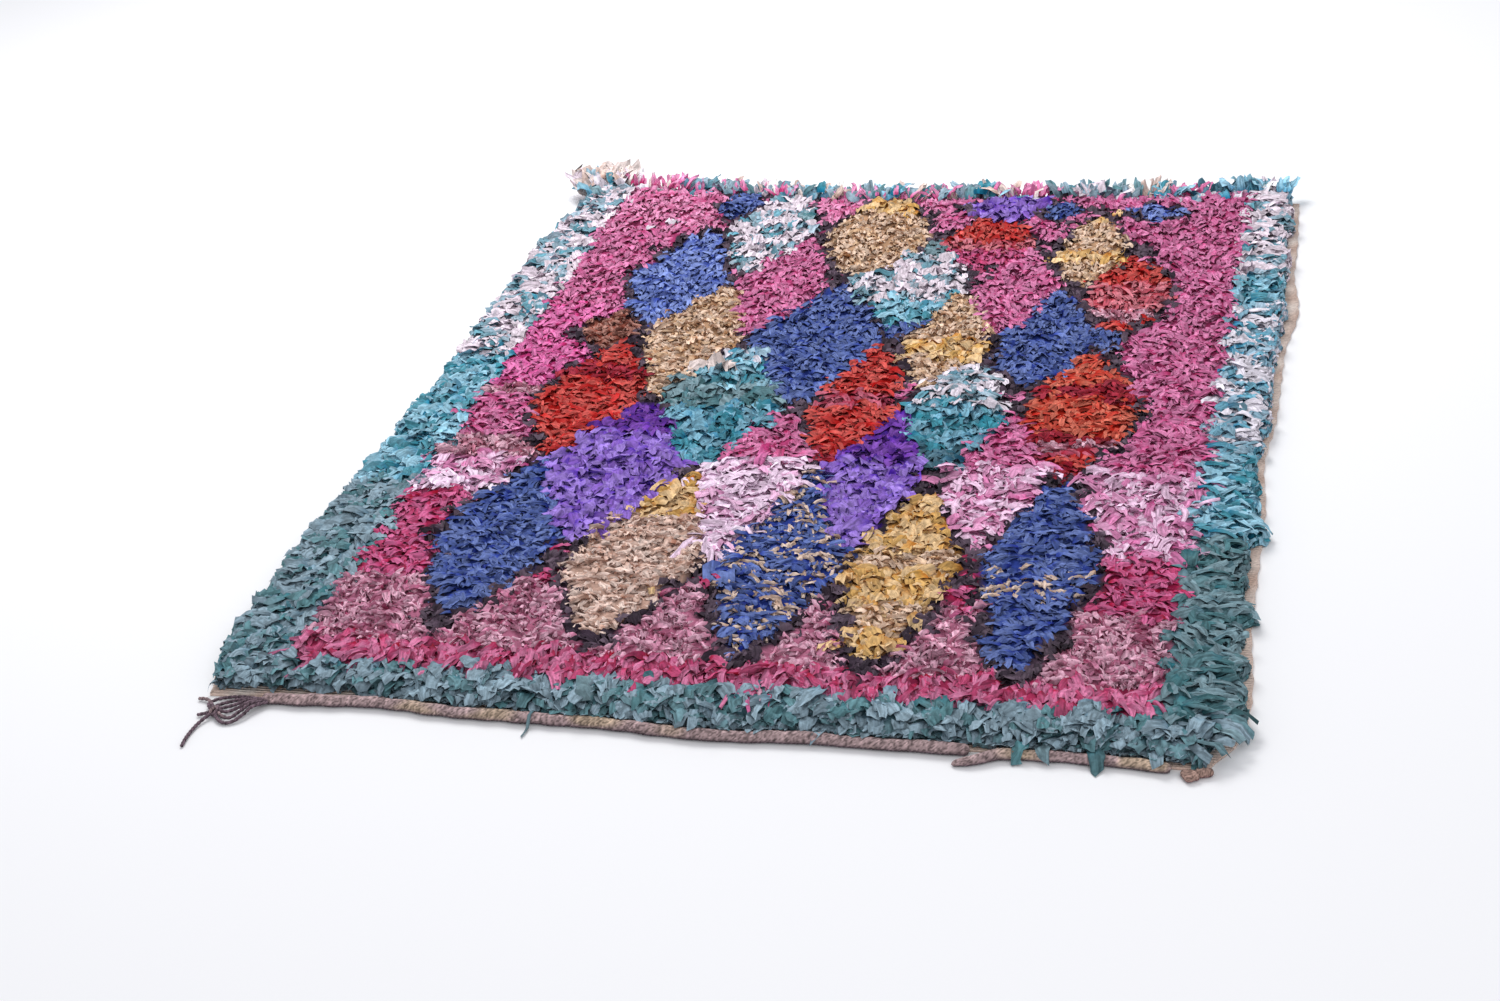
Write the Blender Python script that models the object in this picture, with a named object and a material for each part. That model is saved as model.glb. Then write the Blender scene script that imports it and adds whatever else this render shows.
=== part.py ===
"""Boucherouite rug: rag strips knotted into a woven ground, with a plied cord along its front end.

Metres, +Z up. The rug lies flat on a surface at z = 0 with its corded front end towards -Y.
The origin is near the middle of the ground's underside.
"""

import math
import random
from collections import namedtuple

import bmesh
import bpy
from mathutils import Vector

Place = namedtuple("Place", "x y")

# Driving sizes: the cloth's width, and its length with the cord along its front end
WIDTH = 1.26
LENGTH = 1.60
GROUND_THICK = 0.003
GAP = 0.0003

# The pile slab: how far it is set back from the ground's edges, its heights and its grid
SIDE_SETBACK = 0.012
FRONT_SETBACK = 0.012
BACK_SETBACK = 0.004
PILE_BASE = GROUND_THICK + GAP
PILE_TOP = 0.028
RIM_TOP = 0.022
RIM_RISE_SPAN = 0.045
TUFT_RISE = 0.006
TUFT_COLUMNS = 42
TUFT_ROWS = 54
SEED = 7

# The locks that hang over the rim: reach, widths as shares of their root, thickness and droop
LOCK_REACH_LEAST = 0.015
LOCK_REACH_MOST = 0.029
LOCK_LEAN = 0.004
KNEE_REACH = 0.009
KNEE_WIDTH = 0.86
KNEE_THICK = 0.008
KNEE_DROP = 0.22
TIP_WIDTH_LEAST = 0.34
TIP_WIDTH_MOST = 0.70
TIP_THICK = 0.0035
TIP_TILT = 0.0018
DROOP_SIDE = 0.0045
DROOP_BACK = 0.014
DROOP_VARIES = 0.005

# The plied cord along the front end, a small gap ahead of the ground's edge
CORD_WIDE = 0.013
CORD_HIGH = 0.013
CORD_GAP = 0.0006
CORD_SIDES = 8
CORD_STEP = 0.022
DROOP_FRONT = CORD_HIGH + 0.003

# An edge of the cloth departs from its straight line by smooth bumps: where each is centred along
# the edge, how far it reaches each way, and how far out it stands (negative is drawn in).
Bump = namedtuple("Bump", "at reach out")
LEFT_EDGE = (
    Bump(-0.86, 0.14, -0.026),
    Bump(-0.50, 0.30, 0.010),
    Bump(0.07, 0.14, -0.006),
    Bump(0.50, 0.16, 0.005),
    Bump(0.84, 0.30, -0.026),
)
RIGHT_EDGE = (
    Bump(-0.86, 0.14, -0.050),
    Bump(-0.66, 0.17, 0.010),
    Bump(-0.10, 0.14, -0.009),
    Bump(0.38, 0.15, 0.013),
    Bump(0.80, 0.20, -0.005),
)
FRONT_EDGE = (
    Bump(-0.40, 0.14, -0.008),
    Bump(0.02, 0.14, 0.008),
    Bump(0.58, 0.08, 0.006),
)
BACK_EDGE = (
    Bump(-0.60, 0.25, 0.016),
    Bump(-0.10, 0.36, -0.030),
    Bump(0.62, 0.34, 0.028),
)

# Places where the pile stands higher, as where a lozenge's long strips bunch up
Swell = namedtuple("Swell", "x y radius rise")
SWELLS = (
    Swell(-0.56, 0.74, 0.16, 0.009),
    Swell(0.56, 0.74, 0.14, 0.006),
    Swell(-0.04, -0.20, 0.13, 0.006),
    Swell(0.18, 0.03, 0.12, 0.009),
    Swell(-0.20, 0.12, 0.12, 0.007),
    Swell(-0.03, 0.42, 0.11, 0.007),
    Swell(-0.06, 0.66, 0.16, 0.005),
    Swell(0.36, 0.02, 0.13, 0.005),
    Swell(-0.26, -0.20, 0.15, 0.004),
)

# Where the end cord runs, and the second cord's loose front part, from its tip to the edge
END_CORD_FROM = -0.525
END_CORD_TO = 0.335
LooseEnd = namedtuple("LooseEnd", "x ahead wide high")
LOOSE_END = (
    LooseEnd(0.318, 0.0240, 0.0030, 0.0030),
    LooseEnd(0.324, 0.0225, 0.0075, 0.0070),
    LooseEnd(0.336, 0.0190, 0.0110, 0.0105),
    LooseEnd(0.350, 0.0120, 0.0125, 0.0120),
    LooseEnd(0.366, 0.0030, CORD_WIDE, CORD_HIGH),
)
SECOND_CORD_TO = 0.562

# The knot at the left front corner: the cord's end comes apart into yarns, which meet in a wound
# head on the floor. The last three yarns are a wrapped one, a cut end and the loose tail.
HEAD = Place(-0.588, -0.826)
HEAD_RADIUS = 0.0095
HEAD_HIGH = 0.012
HEAD_SEGMENTS = 12
HEAD_RINGS = 7
SPLIT_GAP = 0.0008
SPLIT_LENGTH = 0.017
SPLIT_WIDE = 0.010
YARN = 0.0040
YARN_SIDES = 4
YARN_LIFT = 0.0002
KNOT_YARNS = (
    (Place(-0.537, -0.796), Place(-0.543, -0.814), Place(-0.549, -0.828), Place(-0.557, -0.839),
     Place(-0.567, -0.844), Place(-0.578, -0.840), Place(-0.587, -0.830)),
    (Place(-0.537, -0.795), Place(-0.547, -0.810), Place(-0.555, -0.824), Place(-0.564, -0.8345),
     Place(-0.574, -0.8345), Place(-0.584, -0.828)),
    (Place(-0.537, -0.794), Place(-0.550, -0.807), Place(-0.561, -0.818), Place(-0.573, -0.825),
     Place(-0.585, -0.826)),
    (Place(-0.536, -0.793), Place(-0.554, -0.802), Place(-0.570, -0.812), Place(-0.587, -0.824)),
    (Place(-0.536, -0.792), Place(-0.560, -0.797), Place(-0.578, -0.804), Place(-0.591, -0.814),
     Place(-0.590, -0.824)),
    (Place(-0.536, -0.791), Place(-0.562, -0.7905), Place(-0.582, -0.7930), Place(-0.598, -0.800),
     Place(-0.604, -0.811), Place(-0.594, -0.824)),
    (Place(-0.591, -0.822), Place(-0.605, -0.805), Place(-0.614, -0.799), Place(-0.625, -0.798)),
    (Place(-0.592, -0.828), Place(-0.601, -0.829), Place(-0.611, -0.832)),
    (Place(-0.591, -0.830), Place(-0.599, -0.847), Place(-0.602, -0.864), Place(-0.602, -0.880),
     Place(-0.600, -0.897)),
)

# The stub at the right front corner: a folded band of cord, and a short roll beside it
STUB_BAND = (Place(0.5760, -0.8022), Place(0.5805, -0.8086), Place(0.5860, -0.8165))
BAND_WIDE = 0.017
BAND_HIGH = 0.008
STUB_ROLL = (Place(0.5800, -0.8042), Place(0.5930, -0.8002), Place(0.6060, -0.7962))
ROLL_WIDE = 0.011
ROLL_HIGH = 0.009

# Colours of the finished pieces: red, green and blue
GROUND_COLOUR = (0.45, 0.33, 0.25)
PILE_COLOUR = (0.45, 0.14, 0.24)
CORD_COLOUR = (0.30, 0.25, 0.25)
YARN_COLOUR = (0.16, 0.12, 0.14)
CLOTH_ROUGHNESS = 0.95


def clear_scene():
    for obj in list(bpy.data.objects):
        bpy.data.objects.remove(obj, do_unlink=True)


def cloth_material(name, colour):
    material = bpy.data.materials.new(name)
    material.use_nodes = True
    shader = material.node_tree.nodes["Principled BSDF"]
    shader.inputs["Base Color"].default_value = (*colour, 1.0)
    shader.inputs["Roughness"].default_value = CLOTH_ROUGHNESS
    shader.inputs["Metallic"].default_value = 0.0
    return material


def node_from(mesh, name, material):
    """Puts a bmesh into the scene as one named object, with its faces pointing out."""
    bmesh.ops.recalc_face_normals(mesh, faces=mesh.faces)
    data = bpy.data.meshes.new(name)
    mesh.to_mesh(data)
    mesh.free()
    data.materials.append(material)
    obj = bpy.data.objects.new(name, data)
    bpy.context.scene.collection.objects.link(obj)
    return obj


def bumps(edge, along):
    """How far an edge stands out at a place along it, as the sum of its bumps."""
    total = 0.0
    for bump in edge:
        away = abs(along - bump.at) / bump.reach
        if away < 1.0:
            total += bump.out * 0.5 * (1.0 + math.cos(math.pi * away))
    return total


def front_y(x):
    """The ground's front edge, behind the cord."""
    return -LENGTH / 2 + CORD_WIDE + CORD_GAP - bumps(FRONT_EDGE, x)


def back_y(x):
    return LENGTH / 2 + bumps(BACK_EDGE, x)


def left_x(y):
    return -WIDTH / 2 - bumps(LEFT_EDGE, y)


def right_x(y):
    return WIDTH / 2 + bumps(RIGHT_EDGE, y)


def on_cloth(u, v, side=0.0, front=0.0, back=0.0):
    """The place at shares u across and v along the cloth, drawn in from its edges."""
    y_line = (v - 0.5) * LENGTH
    left = left_x(y_line) + side
    right = right_x(y_line) - side
    x = left + (right - left) * u
    low = front_y(x) + front
    high = back_y(x) - back
    return Vector((x, low + (high - low) * v, 0.0))


def rim_indices(columns, rows):
    """The grid's rim, counter-clockwise seen from above, starting at the left front corner."""
    front = [(i, 0) for i in range(columns)]
    right = [(columns, j) for j in range(rows)]
    back = [(i, rows) for i in range(columns, 0, -1)]
    left = [(0, j) for j in range(rows, 0, -1)]
    return front + right + back + left


def build_ground(material):
    """The woven ground: the cloth's own outline, one thickness of weave."""
    mesh = bmesh.new()
    rim = rim_indices(TUFT_COLUMNS, TUFT_ROWS)
    outline = [on_cloth(i / TUFT_COLUMNS, j / TUFT_ROWS) for i, j in rim]
    lower = [mesh.verts.new(point) for point in outline]
    upper = [mesh.verts.new(point + Vector((0, 0, GROUND_THICK))) for point in outline]
    mesh.faces.new(lower[::-1])
    mesh.faces.new(upper)
    for k in range(len(rim)):
        after = (k + 1) % len(rim)
        mesh.faces.new((lower[k], lower[after], upper[after], upper[k]))
    return node_from(mesh, "ground", material)


def swell(place):
    """How much higher the pile stands at a place than its plain height."""
    total = 0.0
    for hump in SWELLS:
        away = math.hypot(place.x - hump.x, place.y - hump.y) / hump.radius
        if away < 1.0:
            total += hump.rise * 0.5 * (1.0 + math.cos(math.pi * away))
    return total


def pile_height(place, inward, tuft):
    """The pile's top: low at the rim, rising over a short span, with swells and tufts."""
    rise = math.sin(min(1.0, inward / RIM_RISE_SPAN) * math.pi / 2)
    return RIM_TOP + (PILE_TOP - RIM_TOP + swell(place)) * rise + tuft * TUFT_RISE


def lock_ring(mesh, centre, along, half_width, low, high, tilt=0.0):
    """The four corners of one section of a lock, in the order of its root's side face."""
    first = (centre - along * half_width).xy
    second = (centre + along * half_width).xy
    corners = ((*first, high + tilt), (*second, high), (*second, low), (*first, low + tilt))
    return [mesh.verts.new(corner) for corner in corners]


def bridge(mesh, ring, after):
    for k in range(len(ring)):
        step = (k + 1) % len(ring)
        mesh.faces.new((ring[k], ring[step], after[step], after[k]))


def grow_lock(mesh, root, droop, chance):
    """Grows one rag lock from a side face of the slab: out to a knee, then down to its tip."""
    first, second = root[0].co, root[1].co
    edge = Vector((second.x - first.x, second.y - first.y, 0.0))
    along = edge.normalized()
    out = Vector((along.y, -along.x, 0.0))
    middle = (first + second) / 2
    top = min(first.z, second.z)
    reach = chance.uniform(LOCK_REACH_LEAST, LOCK_REACH_MOST)
    droop += chance.uniform(0.0, DROOP_VARIES)
    lean = along * chance.uniform(-LOCK_LEAN, LOCK_LEAN)
    knee_top = max(top - (top - droop) * KNEE_DROP, droop + KNEE_THICK)
    knee_centre = middle + out * KNEE_REACH + lean * KNEE_REACH / reach
    knee_half = edge.length * KNEE_WIDTH / 2
    knee = lock_ring(mesh, knee_centre, along, knee_half, knee_top - KNEE_THICK, knee_top)
    tip_half = edge.length * chance.uniform(TIP_WIDTH_LEAST, TIP_WIDTH_MOST) / 2
    tip_centre = middle + out * reach + lean
    tilt = chance.uniform(0.0, TIP_TILT)
    tip = lock_ring(mesh, tip_centre, along, tip_half, droop, droop + TIP_THICK, tilt)
    bridge(mesh, root, knee)
    bridge(mesh, knee, tip)
    mesh.faces.new(tip)


def least_droop(at, following):
    """How low a lock's tip may hang: over the cord in front, near the floor at the sides."""
    if at[1] != following[1]:
        return DROOP_SIDE
    return DROOP_FRONT if at[1] == 0 else DROOP_BACK


def build_pile(material):
    """The rag pile: a lumpy slab on the ground, its side faces grown into locks all round."""
    chance = random.Random(SEED)
    mesh = bmesh.new()
    top = {}
    for j in range(TUFT_ROWS + 1):
        for i in range(TUFT_COLUMNS + 1):
            shares = (i / TUFT_COLUMNS, j / TUFT_ROWS)
            place = on_cloth(*shares, SIDE_SETBACK, FRONT_SETBACK, BACK_SETBACK)
            across = min(i, TUFT_COLUMNS - i) * WIDTH / TUFT_COLUMNS
            lengthwise = min(j, TUFT_ROWS - j) * LENGTH / TUFT_ROWS
            inward = min(across, lengthwise)
            tuft = chance.uniform(-0.5, 0.5) + (0.5 if (i + j) % 2 else -0.5)
            height = pile_height(place, inward, tuft if inward > 0 else 0.0)
            top[i, j] = mesh.verts.new((place.x, place.y, height))
    for j in range(TUFT_ROWS):
        for i in range(TUFT_COLUMNS):
            mesh.faces.new((top[i, j], top[i + 1, j], top[i + 1, j + 1], top[i, j + 1]))
    rim = rim_indices(TUFT_COLUMNS, TUFT_ROWS)
    base = [mesh.verts.new((*top[at].co.xy, PILE_BASE)) for at in rim]
    mesh.faces.new(base[::-1])
    for k, at in enumerate(rim):
        after = (k + 1) % len(rim)
        following = rim[after]
        root = (top[at], top[following], base[after], base[k])
        grow_lock(mesh, root, least_droop(at, following), chance)
    return node_from(mesh, "pile", material)


def tube(stations, sides, lift=0.0):
    """A closed tube along stations of (place, width, height), with a flat foot near the floor."""
    mesh = bmesh.new()
    rings = []
    flat = math.cos(math.pi / sides)
    places = [Vector((place.x, place.y, lift)) for place, _, _ in stations]
    for k, (_, wide, high) in enumerate(stations):
        before = places[max(k - 1, 0)]
        after = places[min(k + 1, len(places) - 1)]
        ahead = (after - before).normalized()
        across = Vector((ahead.y, -ahead.x, 0.0))
        ring = []
        for n in range(sides):
            angle = 2 * math.pi * (n + 0.5) / sides
            sideways = across * (math.cos(angle) / flat * wide / 2)
            up = Vector((0, 0, (math.sin(angle) / flat + 1) * high / 2))
            ring.append(mesh.verts.new(places[k] + sideways + up))
        rings.append(ring)
    for ring, following in zip(rings, rings[1:]):
        bridge(mesh, ring, following)
    mesh.faces.new(rings[0])
    mesh.faces.new(rings[-1])
    return mesh


def beside_front(x):
    """The end cord's centre line: along the ground's front edge, a gap and half a cord ahead."""
    return Place(x, front_y(x) - CORD_GAP - CORD_WIDE / 2)


def cord_stations(start, end):
    steps = round((end - start) / CORD_STEP)
    xs = [start + (end - start) * k / steps for k in range(steps + 1)]
    return [(beside_front(x), CORD_WIDE, CORD_HIGH) for x in xs]


def build_end_cord(material):
    return node_from(tube(cord_stations(END_CORD_FROM, END_CORD_TO), CORD_SIDES), "end_cord", material)


def build_second_cord(material):
    """The second cord: a tapered loose end in front, then along the edge to the corner."""
    stations = []
    for point in LOOSE_END:
        axis = beside_front(point.x)
        stations.append((Place(point.x, axis.y - point.ahead), point.wide, point.high))
    first_on_edge = LOOSE_END[-1].x + CORD_STEP
    stations += cord_stations(first_on_edge, SECOND_CORD_TO)
    return node_from(tube(stations, CORD_SIDES), "second_cord", material)


def join(body, others):
    """Unites closed meshes into the body with exact Booleans."""
    for k, other in enumerate(others):
        other.hide_render = True
        other.display_type = "WIRE"
        union = body.modifiers.new(f"join_{k}", "BOOLEAN")
        union.operation = "UNION"
        union.solver = "EXACT"
        union.object = other


def knot_head():
    mesh = bmesh.new()
    bmesh.ops.create_uvsphere(
        mesh, u_segments=HEAD_SEGMENTS, v_segments=HEAD_RINGS, radius=HEAD_RADIUS
    )
    for vert in mesh.verts:
        up = (vert.co.z / HEAD_RADIUS + 1) * HEAD_HIGH / 2
        vert.co = Vector((vert.co.x + HEAD.x, vert.co.y + HEAD.y, up))
    return mesh


def build_corner_knot(material):
    """The corner knot: the split end of the cord, its yarns, the wound head and the loose tail."""
    knot = node_from(knot_head(), "corner_knot", material)
    split_from = beside_front(END_CORD_FROM - SPLIT_GAP)
    split_to = Place(split_from.x - SPLIT_LENGTH, split_from.y)
    split = [(split_from, CORD_WIDE, CORD_HIGH), (split_to, SPLIT_WIDE, SPLIT_WIDE)]
    others = [node_from(tube(split, CORD_SIDES), "knot_split", material)]
    for k, places in enumerate(KNOT_YARNS):
        stations = [(place, YARN, YARN) for place in places]
        yarn = tube(stations, YARN_SIDES, YARN_LIFT * (k + 1))
        others.append(node_from(yarn, f"knot_yarn_{k}", material))
    join(knot, others)
    return knot


def build_corner_stub(material):
    band = tube([(place, BAND_WIDE, BAND_HIGH) for place in STUB_BAND], CORD_SIDES)
    roll = tube([(place, ROLL_WIDE, ROLL_HIGH) for place in STUB_ROLL], CORD_SIDES, YARN_LIFT)
    stub = node_from(band, "corner_stub", material)
    join(stub, [node_from(roll, "stub_roll", material)])
    return stub


def main():
    clear_scene()
    ground_weave = cloth_material("ground_weave", GROUND_COLOUR)
    rag_pile = cloth_material("rag_pile", PILE_COLOUR)
    plied_cord = cloth_material("plied_cord", CORD_COLOUR)
    loose_yarn = cloth_material("loose_yarn", YARN_COLOUR)
    build_ground(ground_weave)
    build_pile(rag_pile)
    build_end_cord(plied_cord)
    build_second_cord(plied_cord)
    build_corner_knot(loose_yarn)
    build_corner_stub(plied_cord)


main()
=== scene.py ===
import math
from collections import namedtuple

import bpy
import numpy as np
from mathutils import Matrix


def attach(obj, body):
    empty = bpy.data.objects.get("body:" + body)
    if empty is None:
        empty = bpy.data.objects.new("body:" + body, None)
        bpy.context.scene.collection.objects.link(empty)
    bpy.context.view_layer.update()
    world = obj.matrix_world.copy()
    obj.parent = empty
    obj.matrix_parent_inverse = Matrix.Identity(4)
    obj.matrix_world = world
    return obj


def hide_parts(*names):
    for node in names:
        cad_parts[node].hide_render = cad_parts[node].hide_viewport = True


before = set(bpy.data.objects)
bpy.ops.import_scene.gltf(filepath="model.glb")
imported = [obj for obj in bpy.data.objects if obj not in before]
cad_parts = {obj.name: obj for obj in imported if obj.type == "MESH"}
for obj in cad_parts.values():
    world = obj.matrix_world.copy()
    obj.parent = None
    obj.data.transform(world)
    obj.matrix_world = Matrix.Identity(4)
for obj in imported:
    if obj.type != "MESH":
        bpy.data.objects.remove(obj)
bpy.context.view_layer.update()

# One whole turn, and the millimetres in a metre: some tables are in millimetres, and say so
TURN = 2 * math.pi
MM = 1000

# Sizes shared with the part's own source
WIDTH = 1.26
LENGTH = 1.60
GROUND_THICK = 0.003
CORD_WIDE = 0.013
CORD_GAP = 0.0006
SIDE_SETBACK = 0.012
FRONT_SETBACK = 0.012
BACK_SETBACK = 0.004

Bump = namedtuple("Bump", "at reach out")
LEFT_EDGE = (
    Bump(-0.86, 0.14, -0.026),
    Bump(-0.50, 0.30, 0.010),
    Bump(0.07, 0.14, -0.006),
    Bump(0.50, 0.16, 0.005),
    Bump(0.84, 0.30, -0.026),
)
RIGHT_EDGE = (
    Bump(-0.86, 0.14, -0.050),
    Bump(-0.66, 0.17, 0.010),
    Bump(-0.10, 0.14, -0.009),
    Bump(0.38, 0.15, 0.013),
    Bump(0.80, 0.20, -0.005),
)
FRONT_EDGE = (
    Bump(-0.40, 0.14, -0.008),
    Bump(0.02, 0.14, 0.008),
    Bump(0.58, 0.08, 0.006),
)
BACK_EDGE = (
    Bump(-0.60, 0.25, 0.016),
    Bump(-0.10, 0.36, -0.030),
    Bump(0.62, 0.34, 0.028),
)
Swell = namedtuple("Swell", "x y radius rise")
SWELLS = (
    Swell(-0.56, 0.74, 0.16, 0.009),
    Swell(0.56, 0.74, 0.14, 0.006),
    Swell(-0.04, -0.20, 0.13, 0.006),
    Swell(0.18, 0.03, 0.12, 0.009),
    Swell(-0.20, 0.12, 0.12, 0.007),
    Swell(-0.03, 0.42, 0.11, 0.007),
    Swell(-0.06, 0.66, 0.16, 0.005),
    Swell(0.36, 0.02, 0.13, 0.005),
    Swell(-0.26, -0.20, 0.15, 0.004),
)

# A smooth unevenness: how high it is, its wavelength, and its seed
Ripple = namedtuple("Ripple", "high wavelength seed")
RIPPLE_WAVES = 5

# The pile: how high it is, and how uneven
PILE_HEIGHT = 0.029
RIM_HEIGHT = 0.022
RIM_RISE_SPAN = 0.05
HIGHEST = 0.0520
PILE_RIPPLES = (Ripple(0.0022, 0.06, 3), Ripple(0.0014, 0.025, 4))

# How a rag is cut and lies. Length and width in metres; how far round it rolls, in radians; how
# much it crinkles, as a share of its width; ends at a knot; the angles in degrees at which it
# leaves the ground and lies at its tip; and how far sideways it lies from straight to the front,
# with the spread of that angle.
Style = namedtuple("Style", "length width roll crinkle ends rise tip lay spread")
LEAF = Style(0.034, 0.0195, 0.9, 0.085, 1.85, 44, -16, 34, 32)
STRIP = Style(0.030, 0.0094, 1.3, 0.10, 3.2, 42, -12, 60, 30)
ROLLED = Style(0.025, 0.0120, 4.0, 0.12, 3.3, 46, -4, 52, 46)
LOOP = Style(0.034, 0.0135, 1.9, 0.10, 2.3, 48, -26, 22, 34)
CURL = Style(0.022, 0.0105, 3.0, 0.10, 3.2, 44, -8, 70, 26)
CLUMP = Style(0.026, 0.0140, 1.2, 0.14, 2.0, 44, -12, 36, 60)
FEATHER = Style(0.042, 0.0125, 0.9, 0.10, 2.4, 48, -8, 42, 30)

# How far rags of one style differ: the spread of a measure, and its least and most, as shares of it
Spread = namedtuple("Spread", "by least most")
LENGTH_SPREAD = Spread(0.20, 0.55, 1.6)
WIDTH_SPREAD = Spread(0.22, 0.5, 1.7)
ROLL_SPREAD = Spread(0.25, 0.4, 1.5)
CRINKLE_SPREAD = Spread(0.35, 0.3, 2.0)
# The same for angles in degrees, for the twist in radians, and for the height in metres
RISE_SPREAD = 9
TIP_SPREAD = 11
BEND_SPREAD = 30
TWIST_SPREAD = 0.40
HEIGHT_SPREAD = 0.0018
# How far a tip is cut aslant and tapered at most, and the share of rags that roll downwards
MOST_SLANT = 0.6
MOST_TAPER = 0.30
ROLLED_DOWN = 0.8
# How far a strip sinks for each metre that it reaches past the ground; upright ones don't
DROOP = 0.7
STANDS_FROM = 0.010

# Yarns: the cut, its shade, a second shade with its share, how far the second shade gathers in
# patches, and how high the yarn stands against the rest
Yarn = namedtuple("Yarn", "style shade second share patchy lift", defaults=(0.7, 0.0))
YARNS = {
    "teal": Yarn(LEAF, (138, 160, 172), (88, 130, 136), 0.32),
    "teal_deep": Yarn(LEAF, (120, 146, 154), (72, 114, 120), 0.35, 1.6),
    "dark_teal": Yarn(LEAF, (86, 122, 138), (44, 84, 98), 0.45),
    "turquoise": Yarn(LEAF, (146, 190, 208), (58, 134, 150), 0.42, 0.9),
    "aqua": Yarn(LEAF, (118, 166, 186), (48, 126, 142), 0.45, 1.2),
    "teal_mix": Yarn(LEAF, (222, 216, 226), (92, 158, 180), 0.50, 1.3),
    "white_mix": Yarn(LEAF, (226, 212, 222), (92, 154, 170), 0.38, 1.6),
    "white": Yarn(FEATHER, (220, 210, 220), (84, 144, 160), 0.52, 1.6, 0.003),
    "off_white": Yarn(FEATHER, (226, 210, 206), (206, 182, 172), 0.40, 0.7, 0.002),
    "pink": Yarn(STRIP, (210, 126, 168), (188, 92, 138), 0.35),
    "light_pink": Yarn(STRIP, (222, 144, 182), (202, 108, 152), 0.35),
    "magenta": Yarn(STRIP, (222, 122, 176), (198, 86, 146), 0.35),
    "crimson": Yarn(STRIP, (200, 100, 144), (178, 62, 104), 0.40),
    "pale": Yarn(FEATHER, (240, 212, 234), (222, 164, 200), 0.25, 0.7, 0.001),
    "pale_rose": Yarn(FEATHER, (234, 196, 222), (204, 120, 166), 0.50, 1.0, 0.001),
    "dusty": Yarn(ROLLED, (220, 170, 190), (196, 124, 154), 0.25),
    "salmon": Yarn(ROLLED, (216, 170, 186), (194, 128, 148), 0.30),
    "raspberry": Yarn(LOOP, (204, 120, 156), (178, 66, 106), 0.40, 0.7, 0.001),
    "blue": Yarn(STRIP, (102, 119, 175), (64, 82, 142), 0.42, 0.9),
    "light_blue": Yarn(STRIP, (128, 146, 206), (84, 102, 168), 0.40, 0.9),
    "blue_beige": Yarn(STRIP, (98, 116, 174), (64, 82, 146), 0.40),
    "violet": Yarn(LEAF, (152, 122, 204), (122, 84, 176), 0.40, 0.7, 0.001),
    "purple": Yarn(LEAF, (118, 70, 164), (86, 38, 132), 0.45),
    "camel": Yarn(CURL, (226, 198, 176), (206, 172, 138), 0.35),
    "beige": Yarn(CURL, (232, 206, 194), (212, 178, 162), 0.35),
    "tan": Yarn(CURL, (176, 128, 116), (150, 100, 88), 0.35),
    "yellow": Yarn(LEAF, (222, 188, 142), (204, 158, 86), 0.40, 1.4),
    "orange": Yarn(STRIP, (202, 86, 80), (180, 38, 38), 0.40, 0.9),
    "bright_orange": Yarn(STRIP, (214, 112, 92), (192, 62, 48), 0.40, 0.9),
    "dark_red": Yarn(STRIP, (162, 48, 66), (132, 14, 34), 0.45),
    "plum": Yarn(STRIP, (186, 96, 116), (154, 48, 74), 0.40),
    "coral": Yarn(STRIP, (206, 122, 134), (184, 80, 96), 0.40),
    "charcoal": Yarn(CLUMP, (92, 77, 90), (46, 36, 47), 0.50, 0.9, -0.002),
}
YARN_NAMES = list(YARNS)
# The short beige curls among the flecked lozenges' strips: their shade and share, and how far they
# differ in shade, length and width
BEIGE_CURL = (218, 194, 178)
BEIGE_SHARE = 0.38
BEIGE_SHADES = (0.85, 1.1)
BEIGE_LENGTHS = (0.8, 1.2)
BEIGE_WIDTHS = (0.8, 1.1)

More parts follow.
